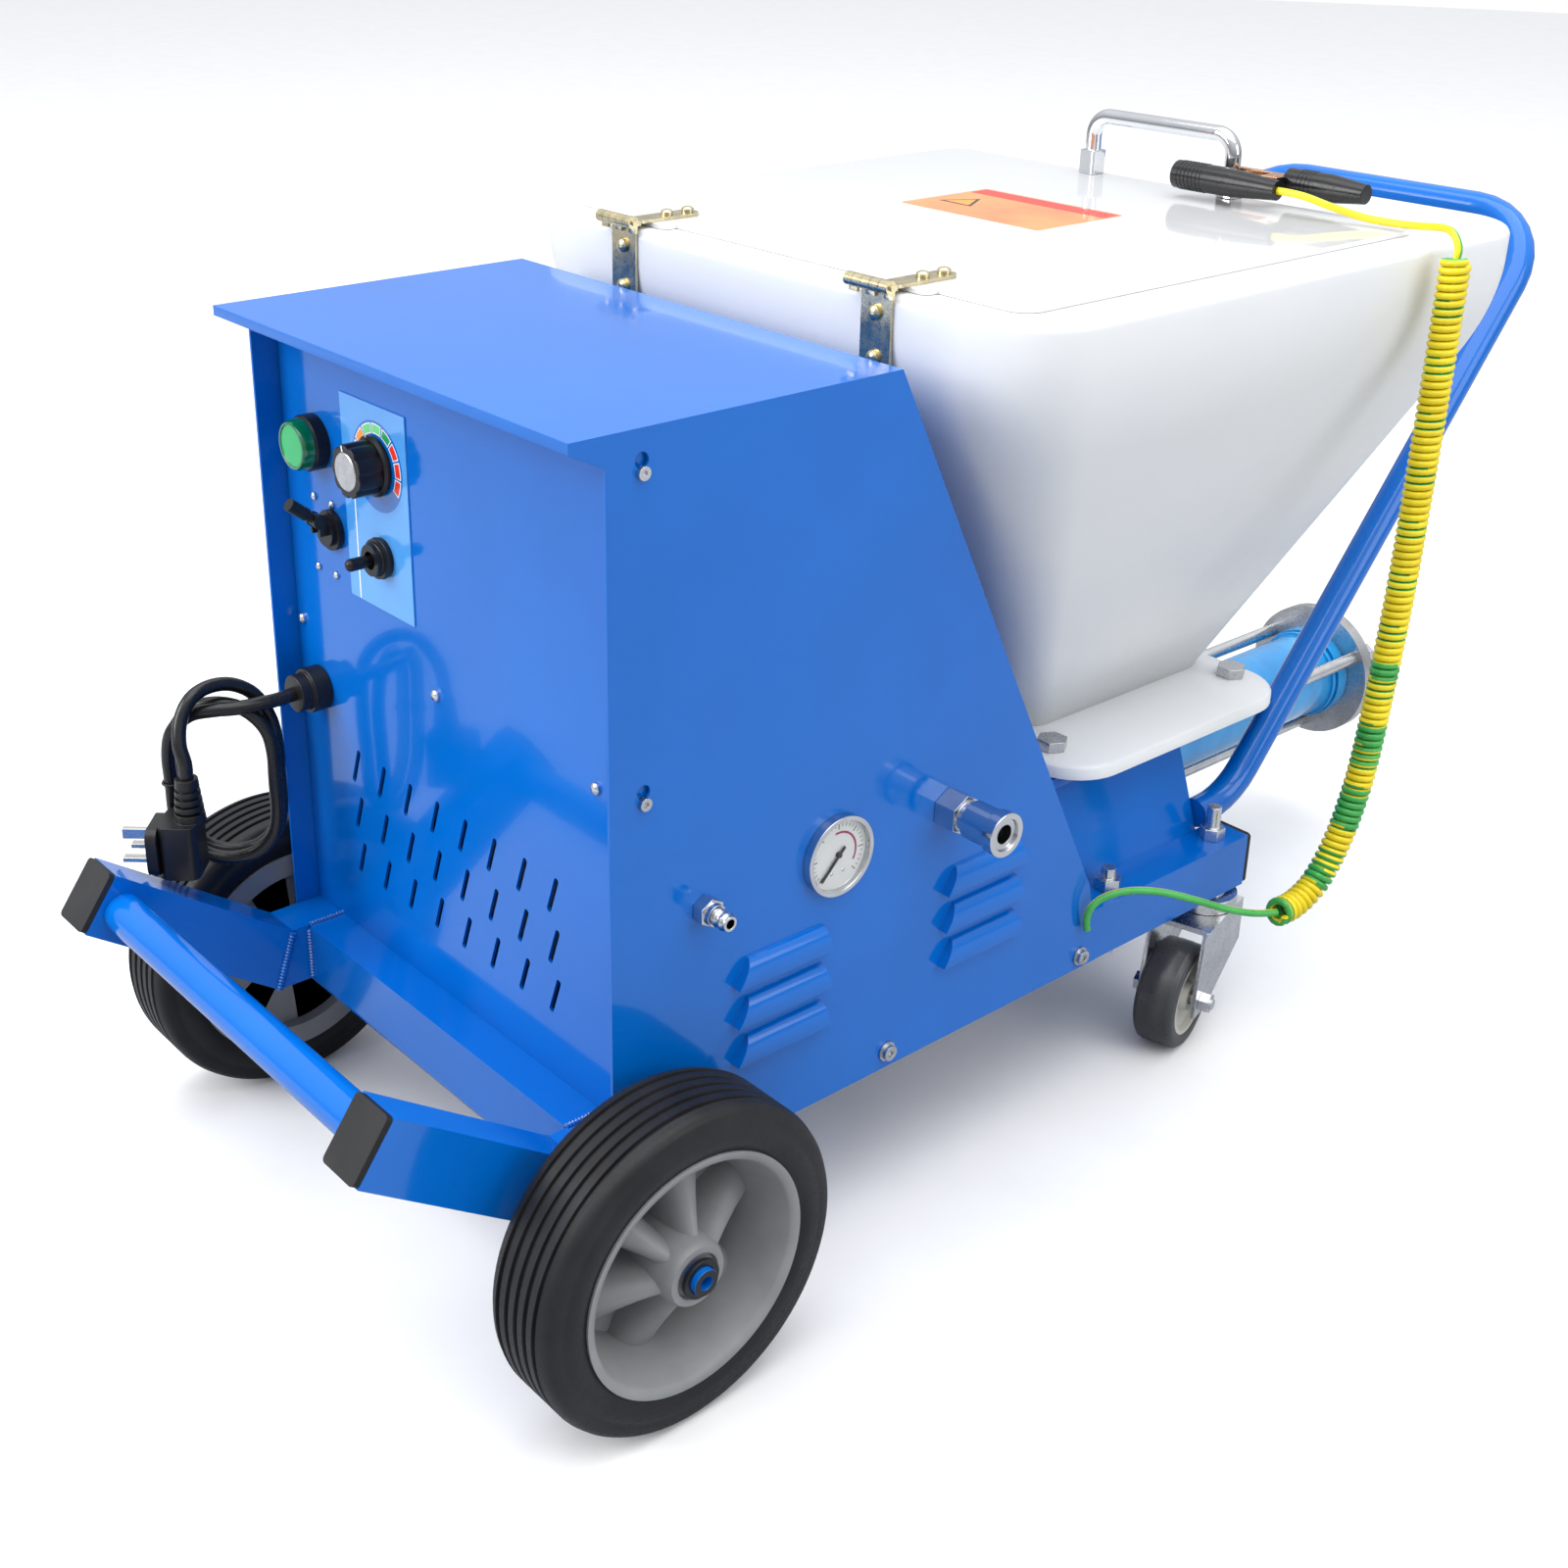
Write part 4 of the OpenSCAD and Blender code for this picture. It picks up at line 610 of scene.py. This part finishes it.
def welds():
    """Beads where the rails are mitred and where the cross tube meets them."""
    for side, x in (("left", -1), ("right", 1)):
        weld_bead("weld_mitre_" + side, (x * 142.2, -25, 145), (x * 142.2, -38, 107))
        weld_bead("weld_cross_" + side, (x * 142, -13, 146.2), (x * 142, 16, 146.2), 1.8)
        weld_bead("weld_front_" + side, (x * 142, -13.5, 108), (x * 142, -13.5, 144), 2.0)


rail_dressing()
welds()


def sheet_dressing():
    dress("housing_hood", BLUE, 0.7, 3)
    for node in ("front_panel", "rear_panel", "floor_pan"):
        dress(node, BLUE, 0.4)
    dress("panel_screws", ZINC, 0.25)
    dress("housing_bolts", DARK_BOLT, 0.4)


sheet_dressing()


# ---------------------------------------------------------------- wheels
WHEEL_IN, TYRE_W, WHEEL_R, RIM_R = 188.0, 55.0, 100.0, 73.5  # inner face, width, radius, rim
HUB_R, BORE_R, WEB_Z = 20, 8.2, 8
GROOVES, GROOVE_DEEP = (11.5, 19.5, 27.5), 1.8
SPOKES, SPOKE_TURN, SPOKE_ARC = 6, 15, 12  # their number, the first one's angle, steps over the back
SPOKE_IN, SPOKE_OUT = 17, RIM_R - 13
SPOKE_HALF, SPOKE_FLARE = 8, 7.5  # half width at the hub, and what it gains at the rim
SPOKE_TOP, SPOKE_DROP = TYRE_W - 6, 24  # height at the hub, and what it loses at the rim
CASTER_TURN = 15  # degrees, the casters' swing at rest
CASTER_R, CASTER_W = 39.0, 30.0


def tyre_profile():
    """Closed profile: ribbed tread, round shoulders and a stepped side wall."""
    side = [(RIM_R, 1.5), (RIM_R + 3, 0.6), (RIM_R + 4, 0.0), (86, 0.0), (87, 0.8), (90, 1.2)]
    shoulder = [(WHEEL_R - 8 + 7.4 * math.sin(math.radians(a)), 9 - 8 * math.cos(math.radians(a)))
                for a in (25, 45, 65, 80)]
    tread = []
    for groove in GROOVES:
        tread += [(WHEEL_R, groove - 1.8), (WHEEL_R - GROOVE_DEEP, groove - 1.2),
                  (WHEEL_R - GROOVE_DEEP, groove + 1.2), (WHEEL_R, groove + 1.8)]
    half = side + shoulder + tread[:-2]
    return half + [(r, TYRE_W - h) for r, h in reversed(half)]


def hub_profile():
    """The rim ring, with a flange at each face and a dish that slopes in from the outer one."""
    return [(RIM_R - 15, 0), (RIM_R, 0), (RIM_R, 6), (RIM_R - 3, 8), (RIM_R - 3, 47), (RIM_R, 49),
            (RIM_R, TYRE_W), (RIM_R - 1.2, TYRE_W), (RIM_R - 4.6, TYRE_W - 0.8), (RIM_R - 6, TYRE_W - 3),
            (RIM_R - 14.5, 22), (RIM_R - 15.5, WEB_Z)]


def spoke_into(bm, centre, outward, angle):
    """One half-cone spoke, narrow at the hub and wide at the rim, with a round back."""
    place = Matrix.Translation(centre) @ axes_from(outward) @ Matrix.Rotation(angle, 4, "Z")
    rings = []
    for share in (0, 0.12, 0.3, 0.5, 0.7, 0.86, 1.0):
        r = SPOKE_IN + share * (SPOKE_OUT - SPOKE_IN)
        half = SPOKE_HALF + SPOKE_FLARE * share ** 1.2
        top = SPOKE_TOP - SPOKE_DROP * share ** 0.9
        ring = []
        for k in range(SPOKE_ARC + 1):
            a = math.pi * k / SPOKE_ARC
            ring.append(bm.verts.new(place @ Vector((r * MM, half * math.cos(a) * MM,
                                                    (WEB_Z + (top - WEB_Z) * math.sin(a) ** 0.7) * MM))))
        rings.append(ring)
    for low, high in zip(rings, rings[1:]):
        for k in range(SPOKE_ARC):
            bm.faces.new((low[k], low[k + 1], high[k + 1], high[k]))
        bm.faces.new((low[-1], low[0], high[0], high[-1]))
    bm.faces.new(rings[0][::-1])
    bm.faces.new(rings[-1])


def make_wheel(side, sign):
    """A ribbed tyre on a grey hub of rim, boss, thin web and spokes."""
    centre = at(sign * WHEEL_IN, 0, WHEEL_R)
    outward = (sign, 0, 0)
    body = side + "_wheel"
    tyre = lathe(side + "_tyre_ribbed", tyre_profile(), centre, outward, TYRE, body, 128, 40)
    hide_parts(side + "_tyre")
    bm = bmesh.new()
    lathe_into(bm, hub_profile(), centre, outward, 96)
    boss = [(BORE_R, 0), (HUB_R - 3, 0), (HUB_R, 3), (HUB_R, TYRE_W - 4), (HUB_R - 2, TYRE_W - 0.5),
            (HUB_R - 6, TYRE_W - 0.5), (HUB_R - 7, TYRE_W - 3), (BORE_R, TYRE_W - 3)]
    web = [(HUB_R - 1, WEB_Z), (RIM_R - 14, WEB_Z), (RIM_R - 14, WEB_Z + 3), (HUB_R - 1, WEB_Z + 3)]
    lathe_into(bm, boss, centre, outward, 64)
    lathe_into(bm, web, centre, outward, 64)
    for k in range(SPOKES):
        spoke_into(bm, centre, outward, math.radians(360 // SPOKES * k + SPOKE_TURN))
    hub = link_mesh(side + "_hub_spoked", bm, HUB_GREY, body, 45)
    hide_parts(side + "_wheel_hub")


make_wheel("right", 1)
make_wheel("left", -1)


def make_caster_wheel(side):
    """Grey tread with a slightly raised middle, on a pale dished core."""
    low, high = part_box(side + "_caster_wheel")
    turn = math.radians(CASTER_TURN)
    axis = (math.cos(turn), math.sin(turn), 0)
    half, core = CASTER_W / 2, CASTER_R - 11
    edge = [(core, half - 1), (core + 2, half), (CASTER_R - 3, half - 0.6), (CASTER_R - 0.8, half - 2.6),
            (CASTER_R - 0.3, half - 5), (CASTER_R - 0.3, 5), (CASTER_R, 4.4)]
    tread = lathe(side + "_caster_tread", edge + [(r, -h) for r, h in reversed(edge)], (low + high) / 2, axis,
                  PU_GREY, side + "_caster_wheel", 96, 40)
    dish = [(core, half - 1), (core - 2.6, half - 1), (core - 3.4, 9), (11, 9), (10, half - 0.6),
            (5.2, half - 0.6)]
    lathe(side + "_caster_core", dish + [(r, -h) for r, h in reversed(dish)], (low + high) / 2, axis, IVORY,
          side + "_caster_wheel", 72, 40)
    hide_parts(side + "_caster_wheel")


def caster_dressing():
    dress("caster_swivel_heads", ZINC, 0.8, 3)
    for side in ("left", "right"):
        dress(side + "_caster_fork", ZINC, 0.6)
        make_caster_wheel(side)


caster_dressing()


# ---------------------------------------------------------------- controls
FRONT = (0, -1, 0)
PANEL_Y = 12.2  # the front panel's face
LAMP_X, LAMP_Z = -133.5, 472.5
LAMP_FACE, LAMP_FACE_R = 16, 12.4  # the lens is bright above this height and inside this radius
DIAL_X, DIAL_Z = -62.7, 474.3
DIAL_STEP, DIAL_SPAN, DIAL_START = 26.5, 20.5, 166  # degrees: the coloured fields on the dial
KNOB_DEPTH, KNOB_POINTS = 21, 12  # from the knob's front to its base, and the pointer's turn in degrees


def make_lamp():
    """Black bezel and a deep green lens with a brighter face."""
    centre = at(LAMP_X, PANEL_Y, LAMP_Z)
    bezel = lathe("pilot_lamp_bezel", [(12, 0), (17, 0), (17, 8), (16.2, 9), (12, 9)], centre, FRONT, BLACK,
                  "cart")
    lens = lathe("pilot_lamp_lens", [(0, 16.2), (LAMP_FACE_R, 16.2), (12.9, 17), (14.2, 16.8), (15.3, 15),
                                     (15.5, 8.8), (0, 8.8)], centre, FRONT, LAMP_SKIRT, "cart")
    paint_faces(lens, LAMP_GREEN, lambda c: c.y < PANEL_Y - LAMP_FACE
                and (c - Vector((LAMP_X, c.y, LAMP_Z))).length < LAMP_FACE_R)
    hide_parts("pilot_lamp")


def fluted(radius, depth, count, steps=10):
    """Outline of a grip with scalloped flutes."""
    points = []
    for k in range(count * steps):
        a = 2 * math.pi * k / (count * steps)
        dip = max(0.0, math.cos(count * a)) ** 1.5
        points.append(((radius - depth * dip) * math.cos(a), (radius - depth * dip) * math.sin(a)))
    return points


def make_knob():
    """A skirt, a fluted grip, a spun cap and two white marks that show where the knob points."""
    low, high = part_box("speed_knob")
    base = Vector(((low.x + high.x) / 2, low.y + KNOB_DEPTH * MM, (low.z + high.z) / 2))
    face = Matrix.Translation(base) @ axes_from(FRONT)
    skirt = lathe("speed_knob_skirt", [(7, 1.2), (17.6, 1.2), (18, 1.8), (18, 3.4), (16.6, 5), (7, 5)], base,
                  FRONT, BLACK, "speed_knob")
    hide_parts("speed_knob")
    prism("speed_knob_grip", fluted(15.8, 1.5, 9), face, 4.6, 20.3, BLACK, "speed_knob", 0.7)
    lathe("speed_knob_cap", [(0, 20.9), (10.8, 20.9), (11.3, 20.5), (11.3, 19), (0, 19)], base, FRONT, SPUN,
          "speed_knob")
    turned = face @ Matrix.Rotation(math.radians(KNOB_POINTS), 4, "Z")
    prism("speed_knob_pointer", [(-0.6, 11.6), (0.6, 11.6), (0.6, 15.2), (-0.6, 15.2)], turned, 20.2, 20.45,
          PRINT_WHITE, "speed_knob")
    prism("speed_knob_mark", [(-0.5, 15.5), (0.5, 15.5), (0.5, 17.9), (-0.5, 17.9)], turned, 3, 4.4,
          PRINT_WHITE, "speed_knob")


def sector(x, y, inner, outer, start, end, steps=6):
    """Outline of a ring sector, angles in degrees."""
    turns = [math.radians(start + (end - start) * k / steps) for k in range(steps + 1)]
    return ([(x + outer * math.cos(a), y + outer * math.sin(a)) for a in turns]
            + [(x + inner * math.cos(a), y + inner * math.sin(a)) for a in reversed(turns)])


def label_print():
    """The dial's round ground, its ring of coloured fields and the switch's white line, with no lettering."""
    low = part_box("control_label")[0]
    face = Matrix.Translation(Vector((0, low.y, 0))) @ axes_from(FRONT)
    ground = sector(DIAL_X, DIAL_Z, 2, 27, 0, 359.9, 72)
    prism("label_dial_ground", ground, face, 0.02, 0.1, DIAL_BLUE, "cart")
    colours = (PRINT_ORANGE, PRINT_ORANGE, PRINT_LIME, PRINT_LIME, PRINT_GREEN) + (PRINT_RED,) * 3
    for k, colour in enumerate(colours):
        middle = DIAL_START - k * DIAL_STEP
        start, end = middle + DIAL_SPAN / 2, middle - DIAL_SPAN / 2
        edge = sector(DIAL_X, DIAL_Z, 19.4, 25.6, start + 1.6, end - 1.6)
        field = sector(DIAL_X, DIAL_Z, 20.1, 24.9, start, end)
        prism("label_field_edge_%d" % k, edge, face, 0.1, 0.16, PRINT_WHITE, "cart")
        prism("label_field_%d" % k, field, face, 0.16, 0.22, colour, "cart")
    line = [(-90.5, 386), (-89.3, 386), (-89.3, 455), (-90.5, 455)]
    prism("label_line", line, face, 0.02, 0.12, PRINT_WHITE, "cart")


def switch_details():
    """Rings round the toggle's boot and the breaker lever's bright cross pin."""
    low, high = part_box("toggle_body")
    middle = Vector(((low.x + high.x) / 2, at(0, PANEL_Y, 0).y, (low.z + high.z) / 2))
    for name, r, h in (("outer", 12.6, 3.4), ("inner", 10.4, 6.0)):
        lathe("toggle_boot_ring_" + name, [(r - 1.4, h - 1.2), (r - 0.4, h - 1.0), (r, h), (r - 0.4, h + 1.0),
                                           (r - 1.4, h + 1.2)], middle, FRONT, BLACK, "cart", 48, 60)
    for side in (-1, 1):
        lathe("breaker_pin_%s" % ("right" if side > 0 else "left"), [(0, 0), (1.7, 0), (1.7, 0.4), (0, 0.7)],
              at(-119 + side * 4.6, 0.7, 429), (side, 0, 0), ZINC, "breaker_lever", 24)


def control_dressing():
    dress("speed_potentiometer", STEEL, 0.2)
    dress("toggle_lever", BLACK, 0.4)
    dress("breaker_lever", BLACK, 0.5)
    dress("cable_gland", BLACK, 0.8, 3)
    dress("control_label", LABEL_BLUE, 0.0)
    dress("toggle_body", BLACK, 0.5)
    dress("breaker_body", BLACK, 0.5)
    make_lamp()
    make_knob()
    label_print()
    switch_details()


control_dressing()


# ---------------------------------------------------------------- drive and pump
def pump_dressing():
    dress("inverter_box", BEIGE, 2.0, 3)
    dress("gearmotor", MOTOR, 1.0)
    dress("drive_shaft", STEEL, 0.4)
    dress("bearing_housing", CAST, 0.8)
    dress("stator_tube", WRAP_BLUE, 0.5)
    dress("stator_liner", CORD_BLACK, 0.4)
    dress("feed_rotor", STEEL, 0.3)
    dress("outlet_flange", STEEL, 0.8, 3)
    dress("tie_rods", ZINC, 0.5)


pump_dressing()


# ---------------------------------------------------------------- hopper and lid
HOPPER_HALF, HOPPER_Y0, HOPPER_Y1 = 233.0, 232.0, 729.0
FOOT_HALF, FOOT_Y0, FOOT_Y1, FOOT_Z = 80.0, 427.0, 629.0, 236.0
BAND_Z, HOPPER_TOP, HOPPER_WALL = 525.0, 577.0, 6.0
LIP_R, MOUTH_R = 6, 44  # the band's rounded lip, and its corner radius inside
FLANGE_HALF, FLANGE_Y0, FLANGE_Y1, FLANGE_R, FLANGE_THICK = 150, 400, 641, 40, 12
LID_X, LID_Y0, LID_Y1, LID_TOP = 204.0, 254.0, 629.0, 580.3
BEND = 34.0  # how far the rounded bend under the band reaches, each way


def ring_points(half, y0, y1, radius, z):
    """A rounded rectangle at a height, always with the same number of points."""
    middle = (y0 + y1) / 2
    return [at(x, middle + y, z) for x, y in rounded(2 * half, y1 - y0, max(radius, 1.0), 9)]


def hopper_section(z, inset):
    """The rounded rectangle of the tapering wall at a height, drawn in by inset."""
    share = (z - FOOT_Z) / (BAND_Z - FOOT_Z)
    bend = BEND / (BAND_Z - FOOT_Z)
    if share > 1 - bend:
        t = min(1.0, (share - 1 + bend) / (2 * bend))
        share = 1 - bend + 2 * bend * t - bend * t * t
    mix = min(share, 1.0)
    half = FOOT_HALF + (HOPPER_HALF - FOOT_HALF) * mix - inset
    y0 = FOOT_Y0 + (HOPPER_Y0 - FOOT_Y0) * mix + inset
    y1 = FOOT_Y1 + (HOPPER_Y1 - FOOT_Y1) * mix - inset
    return ring_points(half, y0, y1, 25 + 25 * mix - inset, z)


def loft(name, rings, material, body, smooth=50):
    """A closed skin through rings that all have the same number of points; the last joins the first."""
    bm = bmesh.new()
    rows = [[bm.verts.new(p) for p in ring] for ring in rings]
    count = len(rows[0])
    for low, high in zip(rows, rows[1:] + rows[:1]):
        for k in range(count):
            bm.faces.new((low[k], low[(k + 1) % count], high[(k + 1) % count], high[k]))
    return link_mesh(name, bm, material, body, smooth)


def make_hopper():
    """The tapering shell with its rounded lip and mouth, and the flange that it is bolted down by."""
    heights = [FOOT_Z, 300, 380, 450] + [BAND_Z - BEND + BEND * k / 6 for k in range(13)]
    outer = [hopper_section(z, 0) for z in heights[:-1]]
    top = [ring_points(HOPPER_HALF - LIP_R + LIP_R * math.cos(a), HOPPER_Y0 + LIP_R - LIP_R * math.cos(a),
                       HOPPER_Y1 - LIP_R + LIP_R * math.cos(a), MOUTH_R + LIP_R * math.cos(a),
                       HOPPER_TOP - LIP_R + LIP_R * math.sin(a))
           for a in (math.radians(d) for d in (0, 18, 36, 54, 72, 90))]
    mouth = [ring_points(LID_X - 20, LID_Y0 + 22, LID_Y1 - 18, 20, z)
             for z in (HOPPER_TOP, HOPPER_TOP - LIP_R)]
    inner = [ring_points(HOPPER_HALF - HOPPER_WALL, HOPPER_Y0 + HOPPER_WALL, HOPPER_Y1 - HOPPER_WALL, MOUTH_R,
                         HOPPER_TOP - 6.2)]
    inner += [hopper_section(z, HOPPER_WALL) for z in reversed(heights[:-1])]
    hopper = loft("hopper_moulding", outer + top + mouth + inner, HOPPER_WHITE, "cart", 62)
    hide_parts("hopper")
    high, low = FOOT_Z + 1, FOOT_Z + 1 - FLANGE_THICK
    edge = ((3, low), (0, low + 2), (0, high - 2.5), (0.8, high - 0.8), (2.6, high))  # inset and height
    plate = [ring_points(FLANGE_HALF - inset, FLANGE_Y0 + inset, FLANGE_Y1 - inset, FLANGE_R, z)
             for inset, z in edge]
    hole = [ring_points(FOOT_HALF - HOPPER_WALL, FOOT_Y0 + HOPPER_WALL, FOOT_Y1 - HOPPER_WALL, 11, z)
            for z in (high, low)]
    loft("hopper_flange", plate + hole, HOPPER_WHITE, "cart", 40)


def lid_print():
    """The lid label's plain fields, with no lettering."""
    face = Matrix.Translation(at(0, 0, LID_TOP))
    ground = [(x, y + 465.5) for x, y in rounded(122, 85, 3)]
    prism("lid_label_ground", ground, face, 0.02, 0.12, LID_ORANGE, "lid")
    band = [(x, y + 497.5) for x, y in rounded(118, 16, 2)]
    prism("lid_label_band", band, face, 0.12, 0.18, PRINT_RED, "lid")
    for name, reach, low, high, colour in (("sign", 17, 0.12, 0.18, PRINT_BLACK),
                                           ("sign_field", 12.5, 0.18, 0.22, PRINT_ORANGE)):
        prism("lid_label_" + name, sector(-36, 458, 0.5, reach, 90, 450, 3), face, low, high, colour, "lid")


def hopper_dressing():
    make_hopper()
    dress("hopper_bolts", DARK_BOLT, 0.7)
    dress("hopper_lid", LID_WHITE, 0.7, 3)
    dress("lid_hinge_straps", YELLOW_ZINC, 0.3)
    dress("lid_hinge_leaves", YELLOW_ZINC, 0.3)
    dress("lid_handle", CHROME, 0.5)
    lid_print()


hopper_dressing()


# ---------------------------------------------------------------- air fittings and clamp
GAUGE_Y, GAUGE_Z, GAUGE_FACE = 156.0, 275.0, 177.0
TICKS, TICK_STEP, TICK_START, TICK_R = 31, 9, 135, 19.6
CLAMP_Z, RIB_STEP = 595.3, 3.2
JAW_Y, JAW_X, PIN_X = 605.55, 100.95, -40.08  # past these the clamp's halves and the plug are bare metal
SIDE = (1, 0, 0)


def make_gauge():
    """White face with ticks and a coloured arc behind glass, in a bright bezel."""
    body = dress("pressure_gauge", FITTING, 0.4, 3)
    paint_faces(body, DIAL_WHITE, lambda c: abs(c.x - GAUGE_FACE) < 0.1)
    face = Matrix.Translation(at(GAUGE_FACE, GAUGE_Y, GAUGE_Z)) @ axes_from(SIDE)
    bm = bmesh.new()
    for k in range(TICKS):
        tick = Matrix.Rotation(math.radians(TICK_START - TICK_STEP * k), 4, "Z")
        length, half = (3.6, 0.28) if k % 5 == 0 else (2.0, 0.14)
        inner = TICK_R - length
        outline = [(-half, inner), (half, inner), (half, TICK_R), (-half, TICK_R)]
        prism_into(bm, outline, face @ tick, 0.02, 0.12)
    link_mesh("gauge_ticks", bm, PRINT_BLACK, "cart")
    prism("gauge_arc", sector(0, 0, 13.2, 14.6, 100, -30, 20), face, 0.02, 0.12, PRINT_PLUM, "cart")
    for name, x, y in (("left", -4.5, -11.5), ("right", 4.5, -11.5)):
        lathe("gauge_screw_" + name, [(0, 0.5), (1.0, 0.4), (1.3, 0.02), (0, 0.02)],
              face @ (Vector((x, y, 0)) * MM), SIDE, ZINC, "cart", 20)
    pane = [(0, 3.3), (21.6, 3.3), (21.6, 2.6), (0, 2.6)]
    lathe("gauge_glass", pane, at(GAUGE_FACE, GAUGE_Y, GAUGE_Z), SIDE, GLASS, "cart", 64)


def clamp_ribs(name, x0, count, y, body):
    """Raised rings round a clamp's rubber grip."""
    bm = bmesh.new()
    rib = [(9.0, -0.8), (9.85, -0.4), (9.85, 0.4), (9.0, 0.8)]
    for k in range(count):
        lathe_into(bm, rib, at(x0 + RIB_STEP * k, y, CLAMP_Z), SIDE, 40)
    link_mesh(name, bm, CORD_BLACK, body, 50)


def fitting_dressing():
    """The air fittings, both halves of the clamp, with bare copper jaws, and the plug with its bare pins."""
    make_gauge()
    dress("gauge_needle", PRINT_BLACK, 0.1)
    dress("air_line", FITTING, 0.4)
    dress("coupler_sleeve", CHROME, 0.6, 3)
    fixed = dress("earth_clamp_body", CORD_BLACK, 0.8, 3)
    paint_faces(fixed, COPPER, lambda c: c.y > JAW_Y)
    moving = dress("earth_clamp_jaw", CORD_BLACK, 0.8, 3)
    paint_faces(moving, COPPER, lambda c: c.x < JAW_X)
    clamp_ribs("earth_clamp_ribs", 40, 7, 596, "lid")
    clamp_ribs("earth_clamp_jaw_ribs", 112, 4, 631.7, "clamp_jaw")
    connector = dress("power_plug", BLACK, 0.8, 3)
    to_bundle = BUNDLE.inverted()
    paint_faces(connector, PIN_STEEL, lambda c: (to_bundle @ at(*c)).x < PIN_X * MM)
    return connector, fixed


plug, clamp = fitting_dressing()


# ---------------------------------------------------------------- floor and light
FLOOR_R = 9000  # mm
FLOOR_THROWN = (0.42, 0.43, 0.45, 1)  # the colour that the floor throws back onto the machine
SKY_COLOUR, SKY_LOW, SKY_HIGH = (0.95, 0.97, 1.0, 1), 0.42, 1.15
LIGHTS = (  # name, place and target in m, size in m, watts
    ("key_top", (0.4, -0.3, 4.2), (0, 0, 0.3), 5.0, 190),
    ("key_front", (-1.2, -2.8, 1.8), (0, -0.2, 0.35), 1.6, 66),
    ("fill_side", (2.8, 0.9, 1.5), (0, 0, 0.3), 1.6, 20),
)


def floor_material():
    """Pale paper that shows lighter than the light it throws back onto the machine."""
    mat = surface("floor_paper", (0.84, 0.84, 0.84), (0.87, 0.87, 0.87), (0.5, 0.6), specular=0.1)
    nodes, links = mat.node_tree.nodes, mat.node_tree.links
    base = nodes["Principled BSDF"].inputs["Base Color"]
    mix, path = nodes.new("ShaderNodeMixRGB"), nodes.new("ShaderNodeLightPath")
    links.new(path.outputs["Is Camera Ray"], mix.inputs["Fac"])
    mix.inputs["Color1"].default_value = FLOOR_THROWN
    links.new(base.links[0].from_socket, mix.inputs["Color2"])
    links.new(mix.outputs["Color"], base)
    return mat


def make_floor():
    bm = bmesh.new()
    lathe_into(bm, [(0, 0), (FLOOR_R, 0)], Vector((0, 0, 0)), (0, 0, 1), 96)
    link_mesh("floor", bm, floor_material(), None)


def area_light(name, place, target, size, power):
    data = bpy.data.lights.new(name, "AREA")
    data.shape, data.size, data.energy = "SQUARE", size, power
    lamp = bpy.data.objects.new(name, data)
    lamp.location = place
    lamp.rotation_euler = (Vector(target) - Vector(place)).to_track_quat("-Z", "Y").to_euler()
    bpy.context.scene.collection.objects.link(lamp)


def make_world():
    """White to the camera; for light and reflections brighter overhead than at the horizon."""
    world = bpy.data.worlds.new("studio")
    bpy.context.scene.world = world
    world.use_nodes = True
    nodes, links = world.node_tree.nodes, world.node_tree.links
    sky = nodes["Background"]
    sky.inputs["Color"].default_value = SKY_COLOUR
    coords, split = nodes.new("ShaderNodeTexCoord"), nodes.new("ShaderNodeSeparateXYZ")
    links.new(coords.outputs["Generated"], split.inputs["Vector"])
    links.new(spread(nodes, links, split.outputs["Z"], SKY_LOW, SKY_HIGH, 0.0, 0.7), sky.inputs["Strength"])
    seen = nodes.new("ShaderNodeBackground")
    seen.inputs["Color"].default_value = (1, 1, 1, 1)
    mix, path = nodes.new("ShaderNodeMixShader"), nodes.new("ShaderNodeLightPath")
    links.new(path.outputs["Is Camera Ray"], mix.inputs["Fac"])
    links.new(sky.outputs["Background"], mix.inputs[1])
    links.new(seen.outputs["Background"], mix.inputs[2])
    links.new(mix.outputs["Shader"], nodes["World Output"].inputs["Surface"])


def make_light():
    make_world()
    for light in LIGHTS:
        area_light(*light)


bpy.context.scene.view_settings.view_transform = "Standard"
make_floor()
make_light()
